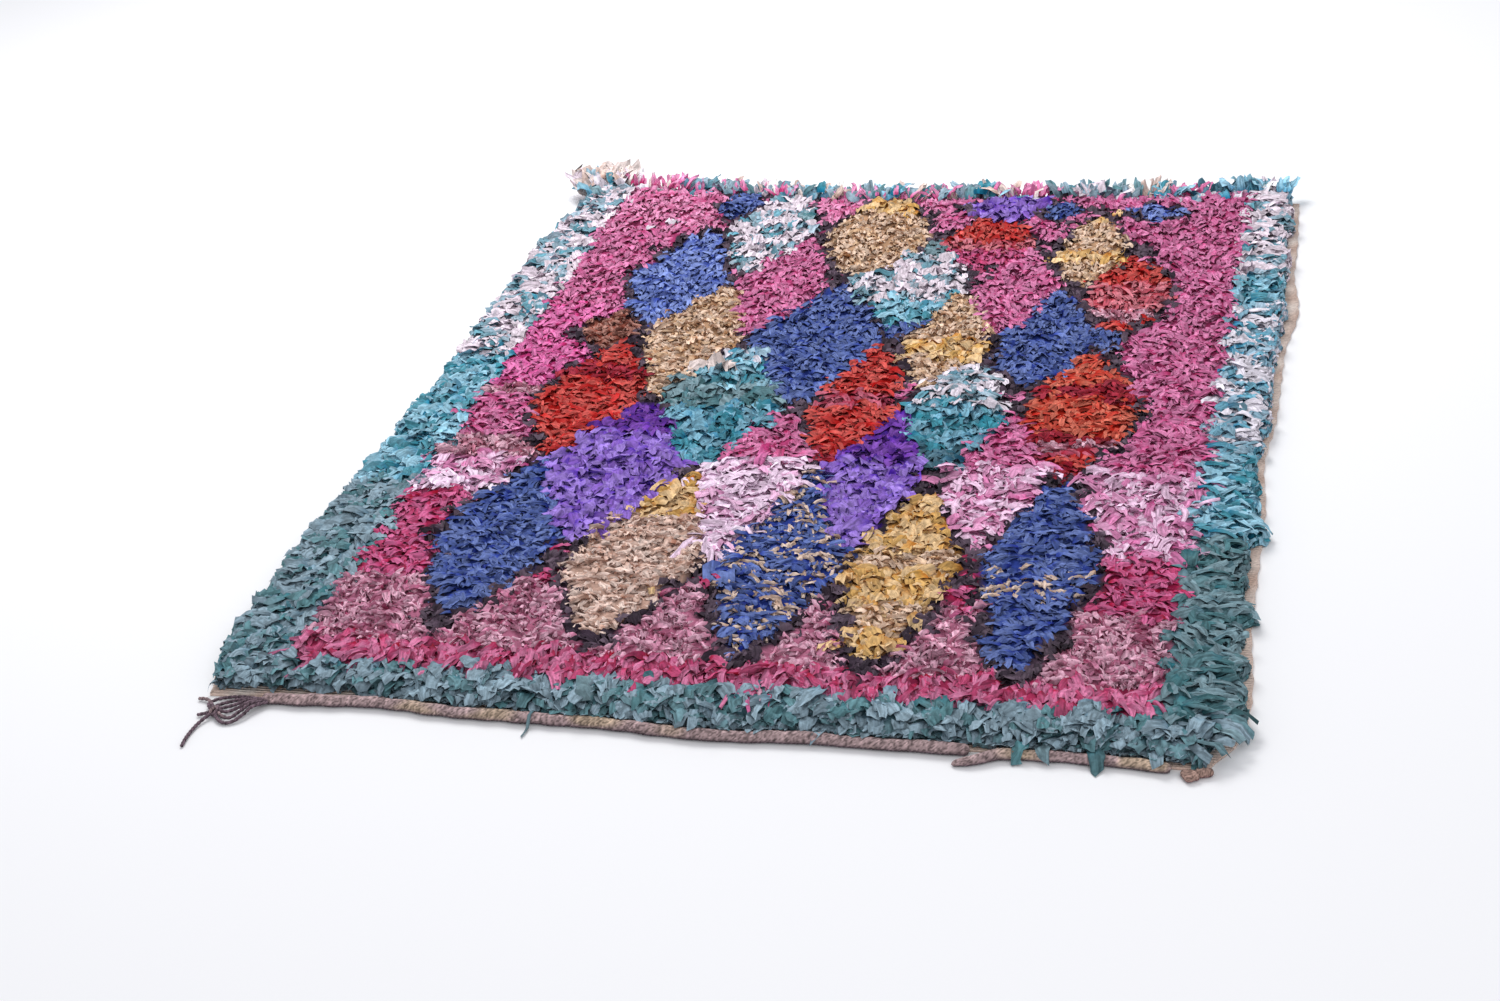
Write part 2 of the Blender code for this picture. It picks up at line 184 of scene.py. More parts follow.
# The lattice, in millimetres: each lozenge's middle and half sizes, and its bands. Bands are yarns
# from the front to the back, and between two yarns the place along the rug where they meet.
Lozenge = namedtuple("Lozenge", "x y half_wide half_long bands")
LOZENGES = [Lozenge(*(size / MM for size in row[:4]), row[4]) for row in (
    (-360, -405, 85, 205, "blue"),
    (-160, -440, 86, 195, "beige -335 yellow"),
    (-142, -290, 26, 60, "yellow"),
    (32, -425, 84, 225, "blue_beige"),
    (190, -450, 70, 205, "yellow -590 camel -530 yellow -440 camel -400 yellow"),
    (363, -430, 71, 228, "blue -500 blue_beige -430 blue"),
    (-260, -215, 98, 205, "violet -108 purple"),
    (-57, -235, 76, 205, "pale -178 pink"),
    (103, -210, 61, 205, "violet -160 purple"),
    (274, -192, 65, 180, "pale_rose -160 pink"),
    (-361, 2, 76, 180, "orange 60 dark_red 100 orange"),
    (-155, -5, 91, 198, "aqua -10 teal_deep 55 turquoise 120 teal_mix"),
    (40, 0, 62, 195, "dark_red -140 orange 0 plum 40 orange"),
    (190, -25, 72, 182, "charcoal -168 dark_teal -110 aqua 4 white"),
    (361, 0, 77, 197, "dark_red -150 orange -122 plum -108 salmon -90 dark_red -70 "
                      "bright_orange 44 dark_red 84 bright_orange"),
    (-260, 208, 78, 195, "camel"),
    (-65, 202, 101, 206, "blue"),
    (135, 218, 66, 182, "camel 164 yellow 222 camel"),
    (280, 240, 73, 172, "blue"),
    (-340, 427, 80, 182, "light_blue"),
    (-166, 410, 70, 196, "pink"),
    (57, 405, 74, 188, "blue 270 turquoise 368 white_mix 540 teal_deep"),
    (214, 398, 64, 178, "pink"),
    (390, 410, 63, 145, "orange 310 salmon 352 coral 450 orange"),
    (-232, 615, 76, 165, "white_mix"),
    (-210, 682, 40, 46, "teal_deep"),
    (-278, 595, 24, 26, "turquoise"),
    (-49, 600, 88, 172, "camel 700 yellow"),
    (-92, 575, 34, 26, "yellow"),
    (140, 590, 75, 115, "crimson 560 coral 600 orange"),
    (311, 566, 58, 145, "camel 520 yellow 560 camel 690 yellow"),
    (-318, 735, 36, 56, "blue"),
    (153, 735, 70, 62, "violet"),
    (240, 730, 30, 36, "blue"),
    (395, 728, 50, 38, "light_blue"),
    (-400, 225, 44, 58, "tan"),
    (-26, 405, 26, 70, "white"),
    (368, 248, 26, 36, "blue"),
)]
# How square a lozenge is, how wide its outline, and how far all of this strays
LOZENGE_POWER = 1.30
OUTLINE = 0.016
OUTLINE_RIPPLE = Ripple(0.006, 0.05, 16)
STRAY_X_RIPPLE = Ripple(0.004, 0.09, 11)
STRAY_Y_RIPPLE = Ripple(0.005, 0.11, 12)
YARN_STRAY_X = 0.0020
YARN_STRAY_Y = 0.0035

# The border starts at these places. Its bands and those of the frame are in millimetres, like the
# lozenges'; the left ones reach up to a middle line. Near the back edge some strips are mixed teals.
BORDER_LEFT = -0.530
BORDER_RIGHT = 0.545
BORDER_FRONT = -0.728
BORDER_BACK = 0.785
LEFT_BORDER_BANDS = "teal -280 turquoise 120 white_mix"
RIGHT_BORDER_BANDS = "teal_deep -330 turquoise -100 teal_mix 380 turquoise 470 white_mix"
LEFT_FRAME_BANDS = (
    "raspberry -675 dusty -520 crimson -300 pale -245 pale_rose -190 "
    "salmon -130 pink 0 salmon 30 magenta 310 pink 620 light_pink")
RIGHT_FRAME_BANDS = "raspberry -675 dusty -530 crimson -385 pale_rose -165 pink"
BACK_MIX_SHARE = 0.35
MIDDLE_X = 0.05

# How a yarn's two shades mix in patches, and how far one strip's shade differs from the next
SHADE_RIPPLE = Ripple(0.28, 0.055, 14)
LEAST_MIX = 0.6
SHADE_SPREAD = Spread(0.13, 0.66, 1.32)

# Where the ground shows: no strips are rooted there, and few reach over it
Spot = namedtuple("Spot", "x y radius")
BARE_SPOTS = (
    Spot(-0.640, -0.800, 0.046),
    Spot(0.672, 0.420, 0.044),
    Spot(0.668, 0.340, 0.034),
    Spot(0.655, -0.365, 0.022),
    Spot(0.662, -0.610, 0.026),
    Spot(0.640, -0.808, 0.032),
    Spot(-0.668, -0.500, 0.024),
    Spot(-0.664, -0.575, 0.022),
    Spot(-0.662, -0.625, 0.024),
    Spot(-0.658, -0.720, 0.022),
)
# How wide the ground shows along the front edge, and the least of that which counts
FRONT_BARE = (Bump(-0.52, 0.22, 0.016), Bump(-0.24, 0.12, 0.006))
FRONT_BARE_LEAST = 0.002
# How far inside the side edges most strips end, how much that wanders, and the share of its
# length by which a longer strip still passes there
RIGHT_INSET = 0.022
LEFT_INSET = 0.005
SIDE_RIPPLE = Ripple(0.008, 0.04, 15)
EDGE_REACH = 0.34
RIGHT_HOLLOW = (
    Bump(0.37, 0.12, 0.012),
    Bump(0.02, 0.06, -0.016),
    Bump(-0.155, 0.05, -0.010),
    Bump(-0.285, 0.035, -0.034),
    Bump(-0.480, 0.030, -0.030),
    Bump(-0.610, 0.030, -0.014),
    Bump(-0.700, 0.040, -0.012),
)
# A strip whose tip lies over a bare spot is cut to this share of its length, and goes if that
# isn't short enough; and the share of a strip's length at which its tip counts
SHORT_BY_SPOT = 0.6
TIP_AT = 0.85

# The field: rows of knots, how far a knot and its ends stray from them, and where they start
ROW_PITCH = 0.0165
KNOT_PITCH = 0.0115
KNOT_STRAY = 0.45
ROW_STRAY = 0.12
END_STRAY_X = 0.0035
END_STRAY_Y = 0.0020
FRONT_START = 0.024
# Strips lie aside to the left or right in patches, and bend on to that side
ASIDE_RIPPLE = Ripple(1.0, 0.10, 17)
ASIDE_STRAY = 0.7
BEND_ASIDE = 22
# Near an edge most strips lie outward: which way in degrees, with its spread, how far in that
# starts, and the share of strips that do
Outward = namedtuple("Outward", "towards spread within share")
OUT_LEFT = Outward(206, 26, 0.10, 0.85)
OUT_RIGHT = Outward(-8, 22, 0.10, 0.90)
OUT_BACK = Outward(90, 40, 0.05, 0.80)
OUT_FRONT = Outward(-96, 24, 0.08, 0.80)
OUT_SOONER = 1.6
# Towards the back the strips point more to the front, and their tips hang a little less
STAND_FROM = -0.15
STAND_SPAN = 0.60
STAND_TIP = 3
STAND_AHEAD = 0.5
# Strips that lie outward along the right edge are longer, narrower and more rolled than the same
# yarn elsewhere, by these shares, up to a place along the rug, and less so behind it
RIGHT_WITHIN = 0.11
RIGHT_TURNED = 60
RIGHT_LONGER = 0.25
RIGHT_NARROWER = 0.46
RIGHT_ROLLED = 0.7
RIGHT_UNTIL = 0.05
RIGHT_SPAN = 0.2
RIGHT_AT_BACK = 0.4

# The rows that close the rim: how far in they root, size against the field's, height against the
# field's, and how much further down their tips point
RimRow = namedtuple("RimRow", "inset pitch size lift tip")
RIM_ROWS = (
    RimRow(0.016, 0.0080, 0.75, -0.004, -14),
    RimRow(0.011, 0.0070, 0.60, -0.010, -14),
    RimRow(0.007, 0.0070, 0.45, -0.014, -10),
)
FRONT_ROOM = 0.006
BACK_INSET_SHARE = 0.6
RIM_ENDS_X = 0.02
RIM_ENDS_Y = 0.03
RIM_STRAY = 0.0025
RIM_SPREAD = 24
RIM_BACK = 0.35
RIM_FRONT_WAY = -94
RIM_BACK_WAY = 90
RIM_LEFT_WAY = 200
RIM_RIGHT_WAY = -6

# The tufts that stand up along the back edge, from left to right: where each run ends, its
# yarns, how high it stands over the rim, and the strip ends in a tuft
TuftRun = namedtuple("TuftRun", "until yarns high ends")
TUFT_RUNS = (
    TuftRun(-0.540, "off_white off_white white_mix", 0.030, 13),
    TuftRun(-0.440, "light_pink off_white light_pink", 0.024, 8),
    TuftRun(0.400, "light_pink white_mix teal turquoise pink off_white teal",
            0.021, 7),
    TuftRun(0.530, "light_pink dark_teal teal_mix", 0.016, 6),
    TuftRun(0.660, "turquoise white_mix teal_mix", 0.022, 7),
)
TUFTS_FROM = -0.620
TUFTS_TO = 0.612
TUFT_PITCH = 0.0160
TUFT_STRAY = 0.007
TUFT_ENDS_DIFFER = 2
TUFT_INSET = 0.003
TUFT_WIDE = 0.010
TUFT_DEEP = 0.004
TUFT_FANS = 2800
TUFT_LEAST_HIGH = 0.45
TUFT_TAPER = (0.1, 0.5)
# Painted light: how much lighter the tufts' colours are made, as their sides towards the front lie in
# shade
TUFT_PAINTED_LIGHT = 1.25
# Angles in degrees with their spread: aside, at the root and at the tip
TUFT_ASIDE_SPREAD = 22
TUFT_RISE = (58, 10)
TUFT_TIP = (26, 16)

# Single rags that stand out, in millimetres: where each starts and ends, its width, its height
# against the pile, and its yarn
SINGLES = (
    (-160, -740, -128, -762, 34, 4, "teal_deep"),
    (-70, -300, -106, -434, 13, 4, "pale"),
    (-490, -708, -548, -722, 6, 3, "raspberry"),
    (-478, -722, -514, -757, 6, 3, "raspberry"),
    (-477.5, -716, -534, -738, 5, 3, "raspberry"),
    (-188, -782, -192, -815, 6, -4, "teal_deep"),
    (-130, -580, -136, -600, 20, 4, "charcoal"),
    (-118, -584, -114, -602, 16, 3, "charcoal"),
    (45, -728, 44, -768, 6, 2, "raspberry"),
    (62, -726, 70, -772, 6, 2, "pink"),
    (90, -724, 94, -766, 6, 2, "raspberry"),
    (76, -722, 80, -752, 5, 2, "dusty"),
    (474, -784, 482, -804, 21, -4, "teal_deep"),
    (396, -778, 390, -800, 21, -4, "teal"),
    (412, -776, 420, -796, 18, -3, "teal_deep"),
    (540, -774, 546, -796, 16, -4, "teal"),
    (556, -768, 598, -786, 15, -1, "teal"),
    (566, -760, 612, -776, 14, 1, "teal"),
    (574, -750, 622, -766, 14, 1, "teal"),
    (580, -740, 628, -752, 13, 1, "teal_deep"),
    (584, -728, 636, -738, 14, 1, "teal"),
    (588, -716, 638, -722, 13, 2, "teal"),
    (590, -700, 640, -708, 14, 1, "teal_deep"),
    (-210, -140, -196, -180, 28, 5, "violet"),
    (-244, -236, -238, -262, 30, 4, "violet"),
    (-40, -456, -30, -500, 34, 5, "blue"),
    (-58, -446, -44, -496, 28, 4, "blue"),
    (-118, -522, -112, -534, 10, 3, "yellow"),
    (170, -628, 196, -642, 24, 3, "yellow"),
    (150, -622, 134, -640, 20, 3, "yellow"),
    (228, -556, 236, -580, 22, 4, "yellow"),
    (-50, -160, -56, -196, 16, 4, "magenta"),
    (-34, -150, -34, -188, 16, 4, "crimson"),
    (330, 706, 338, 716, 16, 4, "yellow"),
    (-604, 800, -634, 846, 40, 22, "off_white"),
    (-588, 806, -604, 862, 44, 24, "off_white"),
    (-574, 810, -570, 868, 40, 24, "off_white"),
    (-556, 810, -545, 864, 36, 22, "off_white"),
    (-610, 790, -654, 822, 34, 18, "off_white"),
    (-600, 782, -640, 800, 30, 12, "turquoise"),
    (-582, 784, -610, 812, 30, 18, "white"),
    (-560, 790, -556, 826, 28, 18, "white"),
    (-570, 740, -590, 752, 26, 12, "teal_deep"),
    (-206, 98, -226, 82, 30, 5, "off_white"),
    (-196, 112, -190, 80, 34, 7, "off_white"),
    (-182, 104, -160, 88, 28, 5, "off_white"),
    (-440, 640, -452, 618, 22, 4, "white"),
    (-405, 665, -412, 642, 20, 4, "white"),
    (-398, 650, -420, 636, 18, 4, "white"),
)

# A single rag rises and crinkles, so it is cut longer than its reach; it rolls little
SINGLE_LONGER = 1.12
SINGLE_EXTRA = 0.008
SINGLE_BEND = 0.4
SINGLE_ROLL = 0.9
SINGLE_CRINKLE = 1.8
# Single rags that lie over the front border are darkened a little with painted shade: where, and by how
# much
PAINTED_SHADE_FROM = -0.79
PAINTED_SHADE_TO = -0.75
SINGLE_PAINTED_SHADE = 0.85

# A strip's mesh: its segments, its width at each station, how late its tip comes down and where
# its bend starts, how ragged its edges are, and its crinkles as waves along and across it. Three
# phases are drawn for the crinkles, though two are used, so that all later draws stay the same.
SEGMENTS = 5
STATION = np.arange(SEGMENTS + 1) / SEGMENTS
PROFILE = np.array([0.78, 0.95, 1.0, 1.0, 0.96, 0.80])
TIP_LATE = 0.75
BEND_START = 0.2
RAGGED = (0.90, 1.10)
Crinkle = namedtuple("Crinkle", "along across")
CRINKLES = (Crinkle(1.3, 0.35), Crinkle(2.1, -0.5))
PHASES_DRAWN = 3
SLANT_POWER = 4
# Painted shade at the root: how dark, how much purer it is there, where it ends; and how its points
# differ
ROOT_PAINTED_SHADE = 0.66
ROOT_PAINTED_DEEPEN = 1.8
ROOT_SOONER = 1.8
POINT_SHADES = (0.93, 1.07)
# How far strips stay over what they lie on, how much lower one edge lies than the other, and how
# far from the pile's highest level they stay
LIE_CLEAR = 0.0012
EDGE_LOWER = 0.0008
TOP_ROOM = 0.002
# In front they hang over the cord: where it runs, and how steeply they come down past it
OVER_CORD_MIDDLE = 0.02
OVER_CORD_HALF = 0.56
CORD_CLEAR = 0.0015
PAST_CORD_LEAST_DROP = 2.0
PAST_CORD_DROP = 1.6

# Fold lines along a rag: how far apart they are, the most on one rag, and how long each is
FOLD_ACROSS = 0.0016
MOST_FOLDS = 9.0
FOLD_ALONG = 0.013
FOLD_SEEDS = 1000
FOLD_DEPTH = 0.0012
FOLD_BUMP = 0.8
FOLD_NOISE = 0.5
FOLD_DETAIL = 2.0

# Cloth: a mottled shade with a fine bump. Tones give the span of a noise and what it stands for.
Tones = namedtuple("Tones", "low high dark light")
# Fold lines are painted: shade in their hollows and highlight on their ridges
FOLD_PAINTED_SHADING = Tones(0.36, 0.62, 0.66, 1.27)
MOTTLE_TONES = Tones(0.3, 0.7, 0.80, 1.14)
MOTTLE_NOISE = 240.0
MOTTLE_DETAIL = 3.0
FIBRE_DETAIL = 4.0
FIBRE_BUMP = 0.6
RIB_PITCH = 0.005
RIB_DEPTH = 0.35
RIB_WAVER = 1.2
# How many radians Blender's wave texture turns in one metre at a scale of 1
WAVE_RATE = 20
CLOTH_LOOK = {
    "Roughness": 0.93,
    "Specular IOR Level": 0.10,
    "Sheen Roughness": 0.5,
}
# A cloth's fibres, as the scale of their noise and their height, and its sheen
Cloth = namedtuple("Cloth", "name fibres height sheen")
RAG_CLOTH = Cloth("rag_cloth", 1500.0, 0.0006, 0.05)
BED_CLOTH = Cloth("bed_cloth", 1500.0, 0.0006, 0.0)
SPUN_THREAD = Cloth("spun_thread", 2600.0, 0.0006, 0.05)
WOVEN_CLOTH = Cloth("woven_cloth", 900.0, 0.0008, 0.05)

# The pieces that the strip ends make, by yarn, with the points across a strip
Family = namedtuple("Family", "name columns yarns")
FAMILIES = (
    Family("teal_strips", 4, "teal"),
    Family("deep_teal_strips", 4, "teal_deep dark_teal turquoise aqua"),
    Family("white_strips", 4, "teal_mix white_mix white off_white"),
    Family("pink_strips", 3, "pink light_pink magenta crimson"),
    Family("rose_strips", 4, "pale pale_rose salmon raspberry"),
    Family("dusty_strips", 4, "dusty"),
    Family("blue_strips", 3, "blue light_blue"),
    Family("flecked_strips", 4, "blue_beige"),
    Family("violet_strips", 4, "violet purple yellow"),
    Family("camel_strips", 4, "camel beige tan"),
    Family("orange_strips", 3, "orange bright_orange dark_red plum coral"),
    Family("charcoal_strips", 4, "charcoal"),
)
PILE_SEED = 21

# In the uv map: the margin round a strip's cell, the margins and shares of the larger pieces, and
# where a corner of the ground's walls lies up the map
CELL_MARGIN = 0.04
UV_MARGIN = 0.01
UV_SHARE = 0.98
HALF_UV_SHARE = (0.47, 0.94)
WALL_UV = (0.97, 0.97, 0.985, 0.985)

# The short, dense bed under the strips: its grid, how far below the pile's height it lies, how
# rough it is, how it slopes down at its rim, and its painted shade, purer and darker than its yarns
BED_SEED = 5
BED_COLUMNS = 126
BED_ROWS = 160
BED_DEPTH = 0.0036
BED_ROUGH = 0.002
BED_STRAY = 0.003
BED_LOW = 0.0012
BED_INSET = 0.006
BED_OFF_SPOTS = 0.016
BED_SLOPE = 0.8
BED_SIDE = 0.0072
BED_PAINTED_DEEPEN = 1.0
BED_PAINTED_SHADES = (0.50, 0.85)

# The ground: its grid, its scalloped selvedges, its thicker rim and its underside's height
GROUND_COLUMNS = 84
GROUND_ROWS = 107
GROUND_LOW = 0.0003
GROUND_SHARE = 0.86
GROUND_RIPPLE = Ripple(0.10, 0.05, 8)
SCALLOP = 0.0012
LEFT_SCALLOP_PITCH = 0.021
RIGHT_SCALLOP_PITCH = 0.023
THICK_RIM = 0.012
THICKER = 0.0012
GROUND_SHADE = (240, 216, 202)
GROUND_SHADE_RIPPLE = Ripple(0.16, 0.05, 9)
GROUND_TINT = (0.6, 1.0, 1.2)

# Cords and yarns: how many plies are laid, how far along one turn goes, and how deep it is
Ply = namedtuple("Ply", "count pitch depth")
CORD_PLY = Ply(9, 0.045, 0.10)
YARN_PLY = Ply(2, 0.012, 0.35)
STUB_PLY = Ply(7, 0.05, 0.08)
MEAN_GROOVE = 0.64
ROUND_END = 0.5
LEAST_CAP = 0.0004
# Shades: a cord's or yarn's upper side with painted light, its foot with painted shade, its patches, and
# how few the patches are
Marl = namedtuple("Marl", "top low patch patches")
CORD_MARL = Marl((186, 160, 160), (96, 80, 88), (204, 180, 152), -0.55)
SECOND_CORD_MARL = CORD_MARL._replace(patches=-0.1)
YARN_MARL = Marl((122, 102, 112), (86, 70, 80), (186, 160, 160), -0.55)
STUB_MARL = Marl((178, 146, 134), (136, 100, 100), (204, 180, 152), -0.55)
# Where the upper side's painted light begins round a cord, and over what span
LIT_UPPER_SPAN = 0.9
LIT_UPPER_FROM = 0.62
# How a marl is uneven: how much, its wavelength along the cord, how slowly it changes round it and
# from where, and its seed after the cord's own
Blotch = namedtuple("Blotch", "high wavelength around start seed")
GRAIN = Blotch(1.0, 0.006, 0.004, 0.3, 0)
CLOUDS = Blotch(0.5, 0.020, 0.006, 0.0, 2)
PATCHES = Blotch(1.0, 0.11, 0.010, 0.0, 1)
PATCH_SHARPER = 1.5
PATCH_STRENGTH = 0.8
MOTTLE_STRENGTH = 0.22
MOTTLE_SPAN = (0.35, 1.6)
FLECKS = 0.30
FLECK_SHADE = 0.40
# Painted shade in the grooves between the plies: how dark, and how sharply it gathers in them
GROOVE_PAINTED_SHADE = 0.62
GROOVE_POWER = 0.5
MARL_POINT_SHADES = (0.8, 1.25)
CORD_SEED = 41
SECOND_CORD_SEED = 47
YARN_SEED = 60
COIL_SEED = 80
STUB_SEED = 90

# The end cord along the front edge, in two lengths, and the second one's loose front part
END_CORD_FROM = -0.540
END_CORD_TO = 0.336
SECOND_CORD_TO = 0.564
CORD_HIGH = 0.0140
CORD_ACROSS = 0.0140
CORD_STEP = 0.002
CORD_SIDES = 24
CORD_LUMPS = (Ripple(0.04, 0.07, 32), Ripple(0.015, 0.020, 34))
CORD_THICKER = 1.02
CORD_LEAST = 0.85
CORD_MOST_HIGH = 1.15
CORD_MOST_WIDE = 1.1
SECOND_LUMPS = Ripple(0.05, 0.04, 33)
CORD_WOBBLE = Ripple(0.0008, 0.045, 31)
CORD_LIFT = 0.0002
LooseEnd = namedtuple("LooseEnd", "x ahead wide")
LOOSE_END = (
    LooseEnd(0.318, 0.0240, 0.0040),
    LooseEnd(0.324, 0.0225, 0.0075),
    LooseEnd(0.336, 0.0190, 0.0110),
    LooseEnd(0.350, 0.0120, 0.0125),
    LooseEnd(0.366, 0.0030, 0.0130),
    LooseEnd(0.384, 0.0000, 0.0130),
)

# The corner knot: its yarns, through places in millimetres, of which the last three are a wrapped
# one, a cut end and the loose tail; and the coils of its wound head
Place = namedtuple("Place", "x y z")
KNOT_YARNS = (
    ((-528, -797, 6), (-543, -814, 9), (-549, -828, 7), (-557, -839, 4),
     (-567, -844, 3), (-578, -840, 4), (-587, -830, 7)),
    ((-528, -796, 8), (-547, -810, 10), (-555, -824, 8),
     (-564, -834.5, 5), (-574, -834.5, 5), (-584, -828, 7)),
    ((-528, -795, 10), (-550, -807, 10), (-561, -818, 8), (-573, -825, 6), (-585, -826, 8)),
    ((-528, -794, 9), (-554, -802, 9), (-570, -812, 7), (-587, -824, 8)),
    ((-528, -793, 6), (-560, -797, 7), (-578, -804, 6), (-591, -814, 6), (-590, -824, 8)),
    ((-528, -792, 4), (-562, -790.5, 5), (-582, -793, 5),
     (-598, -800, 5), (-604, -811, 5), (-594, -824, 6)),
    ((-591, -822, 7), (-605, -805, 5), (-614, -799, 4), (-625, -798, 3)),
    ((-592, -828, 7), (-601, -829, 4), (-611, -832, 3)),
    ((-589, -826, 7), (-599, -847, 4), (-602, -864, 3), (-602, -880, 3), (-600, -897, 2.5)),
)
YARN_THICK = 0.0042
YARN_STEP = 0.0014
YARN_SIDES = 8
HEAD = Place(-0.588, -0.826, .0065)
HEAD_COILS = 4
HEAD_COIL_SIZE = (0.0062, 0.0062, 0.0045)
COIL_POINTS = 25
COIL_FIRST_TILT = 0.7
COIL_TILT = 0.75
COIL_SPIN = 0.9

# The stub: two cut bands of the ground's end yarns, and a short roll beside them
StubPart = namedtuple("StubPart", "places wide high")
STUB_PARTS = (
    StubPart((Place(0.5745, -0.7995, .005), Place(0.5800, -0.8070, .005), Place(0.5862, -0.8165, .0045)),
             0.013, 0.009),
    StubPart((Place(0.5830, -0.7990, .005), Place(0.5875, -0.8060, .005), Place(0.5915, -0.8130, .0045)),
             0.009, 0.008),
    StubPart((Place(0.5880, -0.8035, .005), Place(0.5975, -0.8005, .005), Place(0.6080, -0.7960, .0045)),
             0.012, 0.010),
)
STUB_STEP = 0.0012
STUB_SIDES = 16

# Camera, floor and light
CAMERA_PLACE = (0.7574, -2.95687, 1.57607)
CAMERA_PITCH_DOWN = 0.50736
CAMERA_YAW = 0.29248
CAMERA_ROLL = -0.09737
LENS_MM = 56.80
SENSOR_MM = 36.0
FLOOR_SIZE = 30
FLOOR_LOOK = {
    "Base Color": (0.92, 0.92, 0.93, 1),
    "Roughness": 0.9,
    "Specular IOR Level": 0.1,
}
SKY_COLOUR = (0.94, 0.95, 1.0, 1)
SKY_STRENGTH = 0.62
Lamp = namedtuple("Lamp", "name place size power")
LAMPS = (
    Lamp("key", (-1.0, 1.6, 2.8), 1.6, 75.0),
    Lamp("fill", (1.6, -2.6, 3.0), 3.0, 28.0),
)


def smooth(share):
    share = np.clip(share, 0.0, 1.0)
    return share * share * (3 - 2 * share)


def hump(away):
    """A rounded hump, 1 in its middle and 0 at a distance of 1 and more."""
    return 0.5 * (1 + np.cos(math.pi * np.minimum(away, 1.0)))


def bumps(edge, along):
    return sum(bump.out * hump(np.abs(along - bump.at) / bump.reach) for bump in edge)


def front_y(x):
    return -LENGTH / 2 + CORD_WIDE + CORD_GAP - bumps(FRONT_EDGE, x)


def back_y(x):
    return LENGTH / 2 + bumps(BACK_EDGE, x)


def left_x(y):
    return -WIDTH / 2 - bumps(LEFT_EDGE, y)


def right_x(y):
    return WIDTH / 2 + bumps(RIGHT_EDGE, y)


def on_cloth(u, v, side=0.0, front=0.0, back=0.0):
    """Places at shares u across and v along the cloth, drawn in from its edges."""
    y_line = (v - 0.5) * LENGTH
    left = left_x(y_line) + side
    right = right_x(y_line) - side
    x = left + (right - left) * u
    low = front_y(x) + front
    high = back_y(x) - back
    return x, low + (high - low) * v


def inward(x, y):
    """How far a place lies inside the ground's edges, negative outside."""
    sides = np.minimum(x - left_x(y), right_x(y) - x)
    ends = np.minimum(y - front_y(x), back_y(x) - y)
    return np.minimum(sides, ends)


def waves(x, y, wavelength, seed):
    """A smooth, repeatable unevenness between about -1 and 1."""
    chance = np.random.default_rng(seed)
    total = np.zeros_like(x)
    for _ in range(RIPPLE_WAVES):
        angle = chance.uniform(0, TURN)
        scale = TURN / (wavelength * chance.uniform(0.7, 1.5))
        total += np.sin((x * math.cos(angle) + y * math.sin(angle)) * scale + chance.uniform(0, TURN))
    return total / math.sqrt(RIPPLE_WAVES)


def rippled(x, y, *ripples):
    """The unevenness that ripples give at each place."""
    return sum(one.high * waves(x, y, one.wavelength, one.seed) for one in ripples)


def off_spots(x, y):
    """How far outside the nearest bare place a place lies."""
    off = np.min([np.hypot(x - spot.x, y - spot.y) - spot.radius for spot in BARE_SPOTS], 0)
    margin = bumps(FRONT_BARE, x)
    return np.where(margin > FRONT_BARE_LEAST, np.minimum(off, y - front_y(x) - margin), off)


def kept(x, y):
    """True where strips may root: off the bare spots."""
    return off_spots(x, y) > 0


def pile_height(x, y):
    swells = sum(one.rise * hump(np.hypot(x - one.x, y - one.y) / one.radius) for one in SWELLS)
    from_rim = np.minimum(inward(x, y), off_spots(x, y))
    rise = np.sin(np.clip(from_rim / RIM_RISE_SPAN, 0, 1) * math.pi / 2)
    inner = PILE_HEIGHT - RIM_HEIGHT + swells + rippled(x, y, *PILE_RIPPLES)
    return RIM_HEIGHT + inner * rise


def pile_sides(y):
    """Where the pile ends on the left and on the right: a little inside the ground's edges."""
    wander = rippled(y, y * 0, SIDE_RIPPLE)
    left = left_x(y) + LEFT_INSET + wander
    right = right_x(y) - RIGHT_INSET - bumps(RIGHT_HOLLOW, y) - wander
    return left, right


def banded(bands, y):
    """The yarn number at each place along a run of bands."""
    yarns, ends = bands.split()[::2], bands.split()[1::2]
    found = np.full(len(y), YARN_NAMES.index(yarns[-1]))
    for yarn, end in reversed(list(zip(yarns, ends))):
        found[y < float(end) / MM] = YARN_NAMES.index(yarn)
    return found


